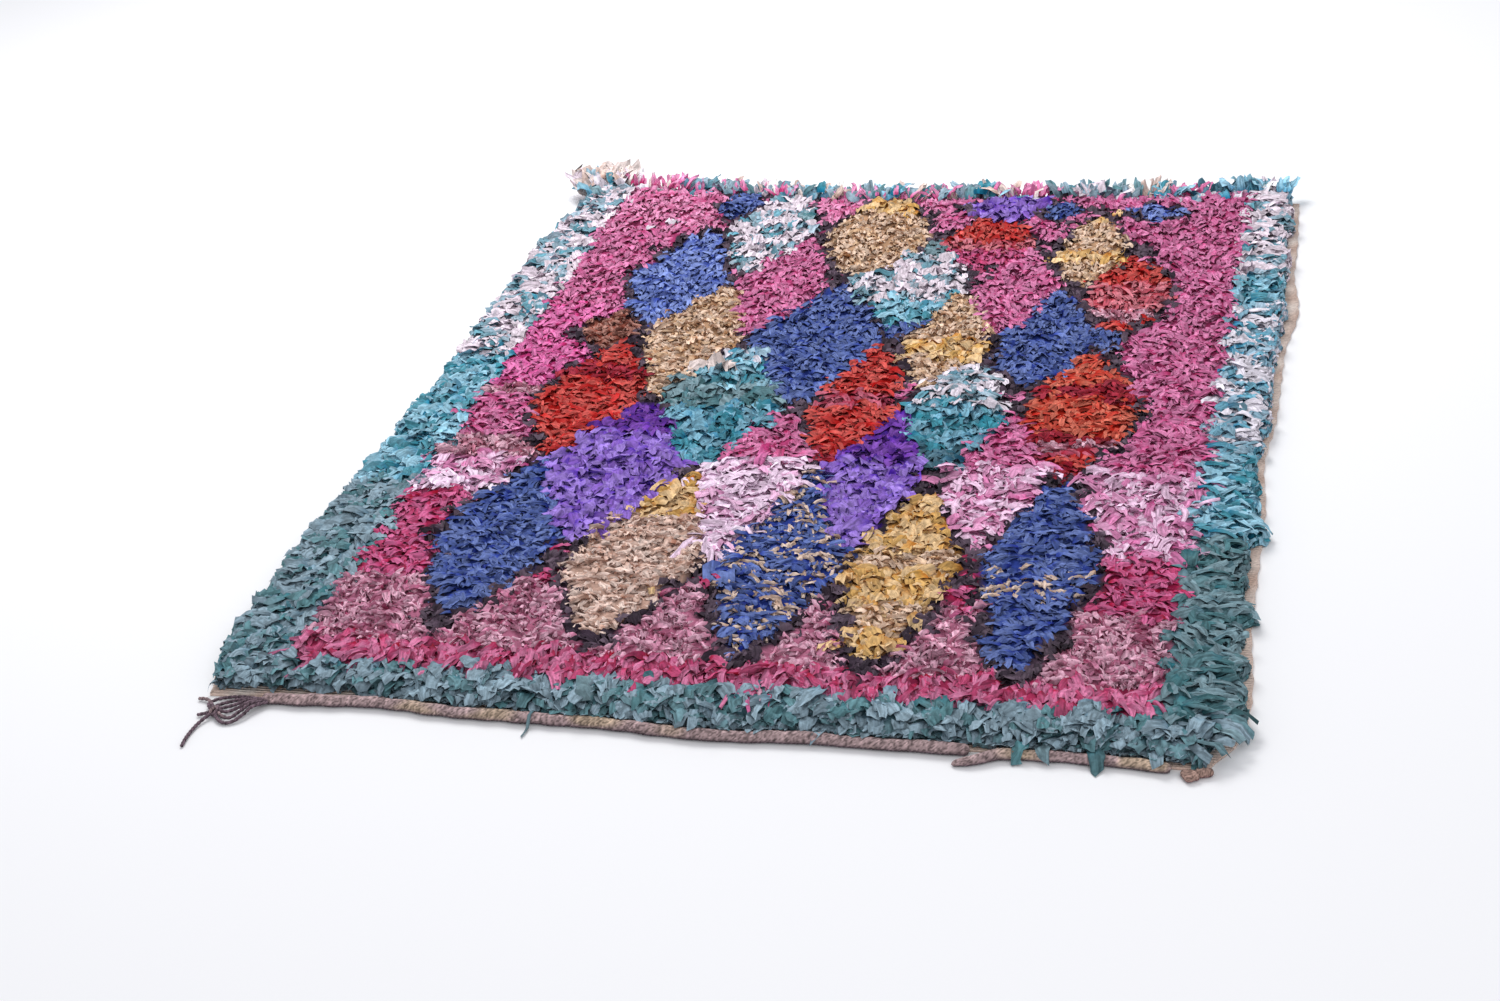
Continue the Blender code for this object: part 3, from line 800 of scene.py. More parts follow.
def yarns_at(x, y, chance):
    """The yarn number at each place: border, frame, or the lozenge that it lies furthest within."""
    x = x + rippled(x, y, STRAY_X_RIPPLE) + chance.normal(0, YARN_STRAY_X, len(x))
    y = y + rippled(x, y, STRAY_Y_RIPPLE) + chance.normal(0, YARN_STRAY_Y, len(x))
    found = np.where(x < MIDDLE_X, banded(LEFT_FRAME_BANDS, y), banded(RIGHT_FRAME_BANDS, y))
    nearest = np.full(len(x), np.inf)
    inside = np.full(len(x), YARN_NAMES.index("charcoal"))
    for lozenge in LOZENGES:
        reach = (np.abs(x - lozenge.x) / lozenge.half_wide) ** LOZENGE_POWER
        reach += (np.abs(y - lozenge.y) / lozenge.half_long) ** LOZENGE_POWER
        beyond = (reach ** (1 / LOZENGE_POWER) - 1) * lozenge.half_wide
        closer = beyond < nearest
        inside[closer] = banded(lozenge.bands, y[closer])
        nearest[closer] = beyond[closer]
    found = np.where(nearest < 0, inside, found)
    outlined = (nearest >= 0) & (nearest < OUTLINE + rippled(x, y, OUTLINE_RIPPLE))
    found[outlined] = YARN_NAMES.index("charcoal")
    left = x < BORDER_LEFT
    right = x > BORDER_RIGHT
    found[left] = banded(LEFT_BORDER_BANDS, y[left])
    found[right] = banded(RIGHT_BORDER_BANDS, y[right])
    back = (y > BORDER_BACK) & (chance.random(len(y)) < BACK_MIX_SHARE)
    found[back] = YARN_NAMES.index("teal_mix")
    front = y < BORDER_FRONT
    found[front] = YARN_NAMES.index("teal")
    return found


def linear(shade):
    """Linear colour of sRGB numbers from 0 to 255."""
    share = np.asarray(shade, float) / 255
    return np.where(share <= 0.04045, share / 12.92, ((share + 0.055) / 1.055) ** 2.4)


def deepened(shade, amount):
    """A purer shade of the same colour, more so the stronger the colour is."""
    pure = shade / shade.max(-1, keepdims=True)
    return shade * pure ** (amount * (1 - pure.min(-1, keepdims=True)))


def of_yarns(field, yarn):
    """One field of the yarn at each place."""
    return np.array([getattr(YARNS[name], field) for name in YARN_NAMES])[yarn]


def of_styles(field, yarn):
    """One field of the yarn's style at each place."""
    return np.array([getattr(YARNS[name].style, field) for name in YARN_NAMES])[yarn]


def varied(chance, spread, shape):
    """Factors about 1 for what differs from one strip to the next."""
    return np.clip(chance.normal(1.0, spread.by, shape), spread.least, spread.most)


def shades_of(x, y, yarn, chance):
    """A linear colour for each strip end: its yarn's two shades, in patches."""
    first = linear(of_yarns("shade", yarn))
    second = linear(of_yarns("second", yarn))
    patch = of_yarns("share", yarn) + rippled(x, y, SHADE_RIPPLE) * of_yarns("patchy", yarn)
    mix = np.where(chance.random(len(yarn)) < patch, chance.uniform(LEAST_MIX, 1.0, len(yarn)), 0.0)
    shade = first + (second - first) * mix[:, None]
    return np.clip(shade * varied(chance, SHADE_SPREAD, (len(yarn), 1)), 0, 1)


def describe(x, y, yarn, heading, chance, size=1.0, lift=0.0, tip=0.0, back=1.0):
    """The table of strip ends at these places: everything that grow() needs."""
    many = len(x)
    return {
        "x": x,
        "y": y,
        "yarn": yarn,
        "colour": shades_of(x, y, yarn, chance),
        "heading": np.radians(heading),
        "length": of_styles("length", yarn) * varied(chance, LENGTH_SPREAD, many) * size,
        "width": of_styles("width", yarn) * varied(chance, WIDTH_SPREAD, many),
        "roll": of_styles("roll", yarn) * varied(chance, ROLL_SPREAD, many),
        "crinkle": of_styles("crinkle", yarn) * varied(chance, CRINKLE_SPREAD, many),
        "rise": np.radians(of_styles("rise", yarn) + chance.normal(0, RISE_SPREAD, many)),
        "tip": np.radians(of_styles("tip", yarn) + tip + chance.normal(0, TIP_SPREAD, many)),
        "bend": np.radians(chance.normal(0, BEND_SPREAD, many)),
        "twist": chance.normal(0, TWIST_SPREAD, many),
        "slant": chance.uniform(-MOST_SLANT, MOST_SLANT, many),
        "taper": chance.uniform(0.0, MOST_TAPER, many),
        "up": of_yarns("lift", yarn) + lift + chance.normal(0, HEIGHT_SPREAD, many),
        "face": np.where(chance.random(many) < ROLLED_DOWN, 1.0, -1.0),
        "back": np.full(many, back),
        "droop": np.full(many, DROOP),
    }


def gathered(tables):
    """Several tables of strip ends as one."""
    return {key: np.concatenate([table[key] for table in tables]) for key in tables[0]}


def chosen(ends, which):
    return {key: column[which] for key, column in ends.items()}


def root_places(chance):
    """Where the field's strip ends root, row by row, and their yarns."""
    rows = round(LENGTH / ROW_PITCH)
    knots = round(WIDTH / KNOT_PITCH)
    row, knot = np.meshgrid(np.arange(rows), np.arange(knots), indexing="ij")
    u = (knot.ravel() + 0.5 + chance.uniform(-KNOT_STRAY, KNOT_STRAY, rows * knots)) / knots
    v = (row.ravel() + 0.5 + chance.uniform(-ROW_STRAY, ROW_STRAY, rows * knots)) / rows
    x, y = on_cloth(u, v, SIDE_SETBACK, FRONT_START, BACK_SETBACK)
    rooted = kept(x, y)
    x, y = x[rooted], y[rooted]
    yarn = yarns_at(x, y, chance)
    count = (of_styles("ends", yarn) + chance.random(len(x))).astype(int)
    x, y, yarn = np.repeat(x, count), np.repeat(y, count), np.repeat(yarn, count)
    x = x + chance.normal(0, END_STRAY_X, len(x))
    y = y + chance.normal(0, END_STRAY_Y, len(y))
    return x, y, yarn


def turned_outward(x, y, heading, chance):
    """The headings once most strips near an edge lie outward over it."""
    for inside, outward in (
        (x - left_x(y), OUT_LEFT),
        (right_x(y) - x, OUT_RIGHT),
        (back_y(x) - y, OUT_BACK),
        (y - front_y(x), OUT_FRONT),
    ):
        near = smooth((1 - inside / outward.within) * OUT_SOONER)
        turned = chance.random(len(x)) < near * outward.share
        heading = np.where(turned, chance.normal(outward.towards, outward.spread, len(x)), heading)
    return heading


def field_ends(chance):
    """The strip ends of the whole field."""
    x, y, yarn = root_places(chance)
    standing = smooth((y - STAND_FROM) / STAND_SPAN)
    sideways = np.abs(chance.normal(of_styles("lay", yarn), of_styles("spread", yarn)))
    sideways = sideways * (1 - STAND_AHEAD * standing)
    side = np.sign(rippled(x, y, ASIDE_RIPPLE) + chance.normal(0, ASIDE_STRAY, len(x)))
    heading = turned_outward(x, y, -90 + side * sideways, chance)
    table = describe(x, y, yarn, heading, chance)
    table["bend"] -= np.radians(BEND_ASIDE) * side
    table["tip"] += np.radians(STAND_TIP) * standing
    at_right = (right_x(y) - x < RIGHT_WITHIN) & (np.abs(heading) < RIGHT_TURNED)
    amount = RIGHT_AT_BACK + (1 - RIGHT_AT_BACK) * smooth((RIGHT_UNTIL - y) / RIGHT_SPAN)
    amount = np.where(at_right, amount, 0.0)
    table["length"] *= 1 + RIGHT_LONGER * amount
    table["width"] *= 1 - RIGHT_NARROWER * amount
    table["roll"] *= 1 + RIGHT_ROLLED * amount
    return table


def rim_ends(chance):
    """Shorter strip ends in rows along the four edges, pointing out and down."""
    tables = []
    for row in RIM_ROWS:
        across = np.arange(-WIDTH / 2 + RIM_ENDS_X, WIDTH / 2 - RIM_ENDS_X, row.pitch)
        along = np.arange(-LENGTH / 2 + RIM_ENDS_Y, LENGTH / 2, row.pitch)
        front = front_y(across) + row.inset + FRONT_ROOM + bumps(FRONT_BARE, across)
        for x, y, towards in (
            (across, front, RIM_FRONT_WAY),
            (across, back_y(across) - row.inset * BACK_INSET_SHARE, RIM_BACK_WAY),
            (left_x(along) + row.inset, along, RIM_LEFT_WAY),
            (right_x(along) - row.inset, along, RIM_RIGHT_WAY),
        ):
            x = x + chance.normal(0, RIM_STRAY, len(x))
            y = y + chance.normal(0, RIM_STRAY, len(y))
            rooted = kept(x, y)
            x, y = x[rooted], y[rooted]
            yarn = yarns_at(x, y, chance)
            heading = chance.normal(towards, RIM_SPREAD, len(x))
            tables.append(describe(x, y, yarn, heading, chance, row.size, row.lift, row.tip, RIM_BACK))
    return gathered(tables)


def back_tufts(chance):
    """Bunches of strips that stand up and fan out along the back edge."""
    tables = []
    for at in np.arange(TUFTS_FROM, TUFTS_TO, TUFT_PITCH):
        at = at + chance.uniform(-TUFT_STRAY, TUFT_STRAY)
        run = next(run for run in TUFT_RUNS if at < run.until)
        yarns = run.yarns.split()
        many = run.ends + chance.integers(-TUFT_ENDS_DIFFER, TUFT_ENDS_DIFFER + 1)
        yarn = np.full(many, YARN_NAMES.index(yarns[chance.integers(len(yarns))]))
        fan = chance.normal(0, TUFT_WIDE, many)
        x = at + fan
        y = back_y(x) - TUFT_INSET + chance.normal(0, TUFT_DEEP, many)
        heading = 90 - fan * TUFT_FANS + chance.normal(0, TUFT_ASIDE_SPREAD, many)
        lift = chance.uniform(TUFT_LEAST_HIGH, 1.0, many) * run.high
        table = describe(x, y, yarn, heading, chance, 1.0, lift, back=0.0)
        table["rise"] = np.radians(chance.normal(*TUFT_RISE, many))
        table["tip"] = np.radians(chance.normal(*TUFT_TIP, many))
        table["taper"] = chance.uniform(*TUFT_TAPER, many)
        table["droop"] = np.zeros(many)
        # Painted light lifts the tufts' colours
        table["colour"] = np.clip(table["colour"] * TUFT_PAINTED_LIGHT, 0, 1)
        tables.append(table)
    return gathered(tables)


def single_ends(chance):
    *measures, yarns = zip(*SINGLES)
    x, y, to_x, to_y, width, lift = np.array(measures) / MM
    yarn = np.array([YARN_NAMES.index(name) for name in yarns])
    heading = np.degrees(np.arctan2(to_y - y, to_x - x))
    table = describe(x, y, yarn, heading, chance, back=0.0)
    table["length"] = np.hypot(to_x - x, to_y - y) * SINGLE_LONGER + SINGLE_EXTRA
    table["width"] = width
    table["up"] = lift
    table["droop"] = np.where(lift >= STANDS_FROM, 0.0, DROOP)
    table["bend"] *= SINGLE_BEND
    table["roll"] = np.full(len(x), SINGLE_ROLL)
    table["crinkle"] *= SINGLE_CRINKLE
    # Painted shade on the single rags that lie over the front border
    painted_shade = (y < PAINTED_SHADE_TO) & (y > PAINTED_SHADE_FROM)
    table["colour"] *= np.where(painted_shade, SINGLE_PAINTED_SHADE, 1.0)[:, None]
    table["face"] = np.ones(len(x))
    return table


def tips_kept(ends):
    """True for the strip ends whose tips don't lie over a bare spot, and for those placed singly."""
    reach = (1 - ends["back"] / 2) * TIP_AT * ends["length"]
    tip_x = ends["x"] + reach * np.cos(ends["heading"])
    tip_y = ends["y"] + reach * np.sin(ends["heading"])
    return kept(tip_x, tip_y) | (ends["back"] < 1)


def curl_beige(ends, chance):
    """Turns some of the flecked lozenges' strips into short beige curls."""
    flecked = ends["yarn"] == YARN_NAMES.index("blue_beige")
    beige = flecked & (chance.random(len(flecked)) < BEIGE_SHARE)
    many = beige.sum()
    ends["colour"][beige] = linear(BEIGE_CURL) * chance.uniform(*BEIGE_SHADES, (many, 1))
    ends["length"][beige] = CURL.length * chance.uniform(*BEIGE_LENGTHS, many)
    ends["width"][beige] = CURL.width * chance.uniform(*BEIGE_WIDTHS, many)
    ends["roll"][beige] = CURL.roll


def lay_spines(ends):
    """Each strip's middle line from its root, and its ways ahead, across and upward."""
    middle = (np.arange(SEGMENTS) + 0.5) / SEGMENTS
    comes_down = (ends["tip"] - ends["rise"])[:, None] * middle ** TIP_LATE
    elevation = ends["rise"][:, None] + comes_down
    heading = ends["heading"][:, None] + ends["bend"][:, None] * (middle - BEND_START)
    step = (ends["length"] / SEGMENTS)[:, None, None]
    ahead = np.stack([
        np.cos(elevation) * np.cos(heading), np.cos(elevation) * np.sin(heading), np.sin(elevation)
    ], 2)
    spine = np.zeros((len(step), SEGMENTS + 1, 3))
    spine[:, 1:] = np.cumsum(ahead * step, 1)
    ahead = np.concatenate([ahead[:, :1], (ahead[:, 1:] + ahead[:, :-1]) / 2, ahead[:, -1:]], 1)
    ahead /= np.linalg.norm(ahead, axis=2, keepdims=True)
    turned = ends["heading"][:, None] + ends["bend"][:, None] * (STATION - BEND_START)
    across = np.stack([-np.sin(turned), np.cos(turned), np.zeros_like(turned)], 2)
    upward = np.cross(ahead, across)
    twist = (ends["twist"][:, None] * STATION)[..., None]
    across, upward = (
        across * np.cos(twist) + upward * np.sin(twist),
        upward * np.cos(twist) - across * np.sin(twist),
    )
    return spine, ahead, across, upward


def cloth_about(spines, ends, column, chance):
    """A rolled, crinkled and slanting strip of cloth about each spine."""
    spine, ahead, across, upward = spines
    many = len(spine)
    width = ends["width"][:, None] * PROFILE * (1 - ends["taper"][:, None] * STATION)
    width = width[..., None] * chance.uniform(*RAGGED, (many, SEGMENTS + 1, len(column)))
    roll = ends["roll"][:, None, None]
    angle = column * roll / 2
    out = width / roll * np.sin(angle)
    down = width / roll * (1 - np.cos(angle)) * ends["face"][:, None, None]
    phase = chance.uniform(0, TURN, (many, PHASES_DRAWN, 1, 1))
    crinkle = sum(
        np.sin(TURN * (one.along * STATION[:, None] + one.across * column) + phase[:, number])
        for number, one in enumerate(CRINKLES)
    )
    crinkle = (ends["crinkle"] * ends["width"])[:, None, None] * crinkle
    slant = (ends["slant"] * ends["width"])[:, None, None] / 2 * column
    slant = slant * STATION[:, None] ** SLANT_POWER
    points = spine[:, :, None] + across[:, :, None] * out[..., None]
    points = points + upward[:, :, None] * (crinkle - down)[..., None]
    return points + ahead[:, :, None] * slant[..., None]


def drawn_in(points, reach):
    """Draws strips that would reach well past the pile's sides back towards them."""
    x = points[..., 0]
    left, right = pile_sides(points[..., 1])
    x = np.where(x > right, right + (x - right) * reach, x)
    points[..., 0] = np.where(x < left, left + (x - left) * reach, x)


def settle(points, spine, ends, column):
    """Puts strips in place: at the pile's height, and hanging down past the ground's edges."""
    half = spine[:, SEGMENTS // 2]
    start_x = ends["x"] - ends["back"] * half[:, 0]
    start_y = ends["y"] - ends["back"] * half[:, 1]
    top = pile_height(start_x + half[:, 0], start_y + half[:, 1]) + ends["up"]
    points[..., 0] += start_x[:, None, None]
    points[..., 1] += start_y[:, None, None]
    points[..., 2] += (np.minimum(top, HIGHEST - TOP_ROOM) - spine[:, :, 2].max(1))[:, None, None]
    drawn_in(points, np.where(ends["back"] == 0, 1.0, EDGE_REACH)[:, None, None])
    x, y = points[..., 0], points[..., 1]
    inside = inward(x, y)
    over_cord = (y < front_y(x)) & (np.abs(x - OVER_CORD_MIDDLE) < OVER_CORD_HALF)
    past_cord = np.maximum(front_y(x) - CORD_WIDE - y, 0)
    least = np.where(inside < 0, LIE_CLEAR, GROUND_THICK + LIE_CLEAR)
    on_cord = np.maximum(CORD_WIDE + CORD_CLEAR - past_cord * PAST_CORD_LEAST_DROP, LIE_CLEAR)
    least = np.where(over_cord, on_cord, least)
    points[..., 2] -= np.maximum(-inside, 0) * ends["droop"][:, None, None]
    points[..., 2] -= np.where(over_cord, past_cord * PAST_CORD_DROP, 0)
    points[..., 2] = np.clip(points[..., 2], least + EDGE_LOWER * (column + 1), HIGHEST)


def strip_shades(ends, columns, chance):
    """A shade a point, with painted shade towards the root that makes it darker and purer."""
    # Painted shade: darker and purer towards the root, where the strips shade each other
    out_of_root = smooth(STATION * ROOT_SOONER)[None, :, None, None]
    shade = deepened(ends["colour"][:, None, None, :], ROOT_PAINTED_DEEPEN * (1 - out_of_root))
    shade = shade * (ROOT_PAINTED_SHADE + (1 - ROOT_PAINTED_SHADE) * out_of_root)
    shape = (len(ends["x"]), SEGMENTS + 1, columns, 1)
    return np.clip(shade * chance.uniform(*POINT_SHADES, shape), 0, 1)


def places_on_rag(ends, column, chance):
    """Where each point lies on its own rag, counted in folds across it and along it."""
    many = len(ends["x"])
    place = np.empty((many, SEGMENTS + 1, len(column), 3))
    folds = np.minimum(ends["width"] / FOLD_ACROSS, MOST_FOLDS)
    place[..., 0] = column * folds[:, None, None] / 2
    place[..., 1] = STATION[:, None] * ends["length"][:, None, None] / FOLD_ALONG
    place[..., 2] = chance.uniform(0, FOLD_SEEDS, (many, 1, 1))
    return place


def grow(ends, columns, chance):
    """The points of every strip end, as (ends, stations, columns, 3), their shades and places."""
    column = np.linspace(-1, 1, columns)
    spines = lay_spines(ends)
    points = cloth_about(spines, ends, column, chance)
    settle(points, spines[0], ends, column)
    return points, strip_shades(ends, columns, chance), places_on_rag(ends, column, chance)


def mesh_of(name, points, faces, colours, uvs, material, on_rag=None):
    """A mesh object from arrays: points, four-cornered faces, a colour a point and a uv a corner."""
    mesh = bpy.data.meshes.new(name)
    mesh.vertices.add(len(points))
    mesh.vertices.foreach_set("co", points.astype(np.float32).ravel())
    mesh.loops.add(faces.size)
    mesh.loops.foreach_set("vertex_index", faces.astype(np.int32).ravel())
    mesh.polygons.add(len(faces))
    mesh.polygons.foreach_set("loop_start", np.arange(0, faces.size, 4, dtype=np.int32))
    mesh.update(calc_edges=True)
    mesh.polygons.foreach_set("use_smooth", np.ones(len(faces), bool))
    colour = mesh.color_attributes.new("shade", "FLOAT_COLOR", "POINT")
    rgba = np.ones((len(points), 4), np.float32)
    rgba[:, :3] = colours
    colour.data.foreach_set("color", rgba.ravel())
    if on_rag is not None:
        place = mesh.attributes.new("on_rag", "FLOAT_VECTOR", "POINT")
        place.data.foreach_set("vector", on_rag.astype(np.float32).ravel())
    layer = mesh.uv_layers.new(name="OFBake")
    layer.data.foreach_set("uv", uvs.astype(np.float32).ravel())
    mesh.materials.append(material)
    obj = bpy.data.objects.new(name, mesh)
    bpy.context.scene.collection.objects.link(obj)
    return obj


def strips_object(name, points, shades, on_rag, material):
    """One object of many strip ends, each with its own cell of the uv map."""
    many, _, columns, _ = points.shape
    per_end = (SEGMENTS + 1) * columns
    corner = np.array([
        [j * columns + k, j * columns + k + 1, (j + 1) * columns + k + 1, (j + 1) * columns + k]
        for j in range(SEGMENTS) for k in range(columns - 1)
    ])
    faces = (np.arange(many)[:, None, None] * per_end + corner).reshape(-1, 4)
    side = math.ceil(math.sqrt(many))
    cell = np.arange(many)
    local = np.stack([corner % columns / (columns - 1), corner // columns / SEGMENTS], 2)
    place = np.stack([cell % side, cell // side], 1)[:, None, None, :]
    uvs = (place + CELL_MARGIN + local * (1 - 2 * CELL_MARGIN)) / side
    return mesh_of(name, points.reshape(-1, 3), faces, shades.reshape(-1, 3), uvs, material,
                   on_rag.reshape(-1, 3))


def grid(columns, rows):
    """Shares u across and v along a grid, row by row, and its four-cornered faces."""
    v, u = np.meshgrid(np.linspace(0, 1, rows + 1), np.linspace(0, 1, columns + 1), indexing="ij")
    j, i = np.meshgrid(np.arange(rows), np.arange(columns), indexing="ij")
    first = (j * (columns + 1) + i).ravel()
    faces = np.stack([first, first + 1, first + columns + 2, first + columns + 1], 1)
    return u.ravel(), v.ravel(), faces


def add_node(tree, kind, values, **fields):
    """A shader node with its own fields set, and then its inputs."""
    node = tree.nodes.new(kind)
    for field, value in fields.items():
        setattr(node, field, value)
    for socket, value in values.items():
        node.inputs[socket].default_value = value
    return node


def noise(tree, place, scale, detail):
    node = add_node(tree, "ShaderNodeTexNoise", {"Scale": scale, "Detail": detail})
    tree.links.new(place, node.inputs["Vector"])
    return node.outputs["Fac"]


def toned(tree, colour, value, tones):
    """A colour made darker where a noise is low and lighter where it is high."""
    span = add_node(tree, "ShaderNodeMapRange", {
        "From Min": tones.low, "From Max": tones.high, "To Min": tones.dark, "To Max": tones.light,
    })
    mix = add_node(tree, "ShaderNodeMix", {}, data_type="RGBA", blend_type="MULTIPLY")
    mix.inputs["Factor"].default_value = 1.0
    tree.links.new(value, span.inputs["Value"])
    tree.links.new(colour, mix.inputs["A"])
    tree.links.new(span.outputs["Result"], mix.inputs["B"])
    return mix.outputs["Result"]


def bumped(tree, height, strength, distance, under=None):
    """The normals of a bump, over those of another bump if given."""
    node = add_node(tree, "ShaderNodeBump", {"Strength": strength, "Distance": distance})
    tree.links.new(height, node.inputs["Height"])
    if under is not None:
        tree.links.new(under, node.inputs["Normal"])
    return node.outputs["Normal"]


def cloth_material(cloth, folded=False, ribbed=False):
    """Matt cloth: its colour from the mesh, mottled, with a fine bump; ribbed if asked; if folded, with
    a fold bump and painted shade and highlight along the folds.
    """
    material = bpy.data.materials.new(cloth.name)
    material.use_nodes = True
    tree = material.node_tree
    place = add_node(tree, "ShaderNodeTexCoord", {}).outputs["Object"]
    colour = add_node(tree, "ShaderNodeVertexColor", {}, layer_name="shade").outputs["Color"]
    colour = toned(tree, colour, noise(tree, place, MOTTLE_NOISE, MOTTLE_DETAIL), MOTTLE_TONES)
    fibres = noise(tree, place, cloth.fibres, FIBRE_DETAIL)
    normal = bumped(tree, fibres, FIBRE_BUMP, cloth.height)
    if folded:
        on_rag = add_node(tree, "ShaderNodeAttribute", {}, attribute_name="on_rag")
        folds = noise(tree, on_rag.outputs["Vector"], FOLD_NOISE, FOLD_DETAIL)
        # Painted shade and highlight along the fold lines
        colour = toned(tree, colour, folds, FOLD_PAINTED_SHADING)
        normal = bumped(tree, folds, FOLD_BUMP, FOLD_DEPTH, normal)
    if ribbed:
        ribs = add_node(tree, "ShaderNodeTexWave", {
            "Scale": TURN / (WAVE_RATE * RIB_PITCH), "Distortion": RIB_WAVER,
        }, bands_direction="Y")
        tree.links.new(place, ribs.inputs["Vector"])
        normal = bumped(tree, ribs.outputs["Fac"], 1.0, RIB_PITCH * RIB_DEPTH, normal)
    shader = tree.nodes["Principled BSDF"]
    for socket, value in CLOTH_LOOK.items():
        shader.inputs[socket].default_value = value
    shader.inputs["Sheen Weight"].default_value = cloth.sheen
    tree.links.new(colour, shader.inputs["Base Color"])
    tree.links.new(normal, shader.inputs["Normal"])
    return material


def build_pile(rag):
    chance = np.random.default_rng(PILE_SEED)
    ends = gathered([field_ends(chance), rim_ends(chance), back_tufts(chance), single_ends(chance)])
    ends["length"] *= np.where(tips_kept(ends), 1.0, SHORT_BY_SPOT)
    ends = chosen(ends, tips_kept(ends))
    curl_beige(ends, chance)
    for family in FAMILIES:
        mine = np.isin(ends["yarn"], [YARN_NAMES.index(yarn) for yarn in family.yarns.split()])
        points, shades, on_rag = grow(chosen(ends, mine), family.columns, chance)
        piece = strips_object(family.name, points, shades, on_rag, rag)
        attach(piece, "root")


def build_bed(material):
    """The short, dense under-layer that the strip ends stand in."""
    chance = np.random.default_rng(BED_SEED)
    u, v, faces = grid(BED_COLUMNS, BED_ROWS)
    x, y = on_cloth(u, v, BED_SIDE, FRONT_SETBACK, BACK_SETBACK)
    rim = (u == 0) | (u == 1) | (v == 0) | (v == 1)
    z = pile_height(x, y) - BED_DEPTH + chance.uniform(-BED_ROUGH, BED_ROUGH, len(x))
    left, right = pile_sides(y)
    inside = np.minimum(inward(x, y), np.minimum(x - left, right - x) - BED_INSET)
    z = np.clip(np.minimum(z, GROUND_THICK + inside * BED_SLOPE), BED_LOW, None)
    by_spots = GROUND_THICK + (off_spots(x, y) - BED_OFF_SPOTS) * BED_SLOPE
    z = np.minimum(z, np.maximum(by_spots, BED_LOW))
    z[rim | ~kept(x, y)] = BED_LOW
    x = x + np.where(rim, 0, chance.uniform(-BED_STRAY, BED_STRAY, len(x)))
    yarn = yarns_at(x, y, chance)
    # Painted shade: the bed shows only in the gaps between strips, so its colour is made purer and
    # darker
    colours = (linear(of_yarns("shade", yarn)) + linear(of_yarns("second", yarn))) / 2
    colours = deepened(colours, BED_PAINTED_DEEPEN) * chance.uniform(*BED_PAINTED_SHADES, (len(x), 1))
    uvs = np.stack([u, v], 1)[faces] * UV_SHARE + UV_MARGIN
    bed = mesh_of("pile_bed", np.stack([x, y, z], 1), faces, colours, uvs, material)
    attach(bed, "root")
    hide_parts("pile")
    return bed


def scalloped(x, y, u):
    """The ground's side edges, drawn in and out by its weft turning back."""
    x = x + np.where(u == 0, 1, 0) * SCALLOP * np.sin(y * TURN / LEFT_SCALLOP_PITCH)
    return x - np.where(u == 1, 1, 0) * SCALLOP * np.sin(y * TURN / RIGHT_SCALLOP_PITCH)


def rim_of_grid(columns, rows):
    """The numbers of a grid's outer points, in order round it."""
    row = columns + 1
    rim = list(range(columns)) + [columns + j * row for j in range(rows)]
    rim += [rows * row + i for i in range(columns, 0, -1)] + [j * row for j in range(rows, 0, -1)]
    return np.array(rim)


def build_ground(material):
    """The woven ground: a closed, slightly uneven cloth with a scalloped selvedge."""
    u, v, faces = grid(GROUND_COLUMNS, GROUND_ROWS)
    x, y = on_cloth(u, v)
    x = scalloped(x, y, u)
    near_rim = np.maximum(1 - inward(x, y) / THICK_RIM, 0)
    top = GROUND_THICK * (GROUND_SHARE + rippled(x, y, GROUND_RIPPLE)) + THICKER * near_rim
    low = np.full_like(top, GROUND_LOW)
    points = np.concatenate([np.stack([x, y, top], 1), np.stack([x, y, low], 1)])
    rim = rim_of_grid(GROUND_COLUMNS, GROUND_ROWS)
    after = np.roll(rim, -1)
    walls = np.stack([rim + len(x), after + len(x), after, rim], 1)
    underside = faces[:, ::-1]

    # In the uv map the top lies on the left, the underside on the right, and the walls above them
    place = np.stack([u, v], 1)
    share = np.arange(len(rim)) / len(rim)
    along = np.stack([share, share + 1 / len(rim), share + 1 / len(rim), share], 1)
    wall_uv = np.stack([along * UV_SHARE + UV_MARGIN, np.tile(WALL_UV, (len(rim), 1))], 2)
    uvs = np.concatenate([
        place[faces] * HALF_UV_SHARE + UV_MARGIN,
        place[underside] * HALF_UV_SHARE + (0.5 + UV_MARGIN, UV_MARGIN),
        wall_uv,
    ])
    tint = 1 + rippled(x, y, GROUND_SHADE_RIPPLE)[:, None] * GROUND_TINT
    colours = np.tile(np.clip(linear(GROUND_SHADE) * tint, 0, 1), (2, 1))
    all_faces = np.concatenate([faces, underside + len(x), walls])
    ground = mesh_of("woven_ground", points, all_faces, colours, uvs, material)
    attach(ground, "root")
    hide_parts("ground")
    return ground


def curve_through(places, step):
    """A smooth line through the places, with points about a step apart."""
    places = np.array(places, float)
    padded = np.concatenate([[2 * places[0] - places[1]], places, [2 * places[-1] - places[-2]]])
    line = []
    for before, first, second, after in zip(padded, padded[1:], padded[2:], padded[3:]):
        count = max(2, round(np.linalg.norm(second - first) / step))
        t = (np.arange(count) / count)[:, None]
        line.append(0.5 * (
            2 * first + (second - before) * t
            + (2 * before - 5 * first + 4 * second - after) * t ** 2
            + (3 * first - before - 3 * second + after) * t ** 3
        ))
    line.append(places[-1:])
    return np.concatenate(line)


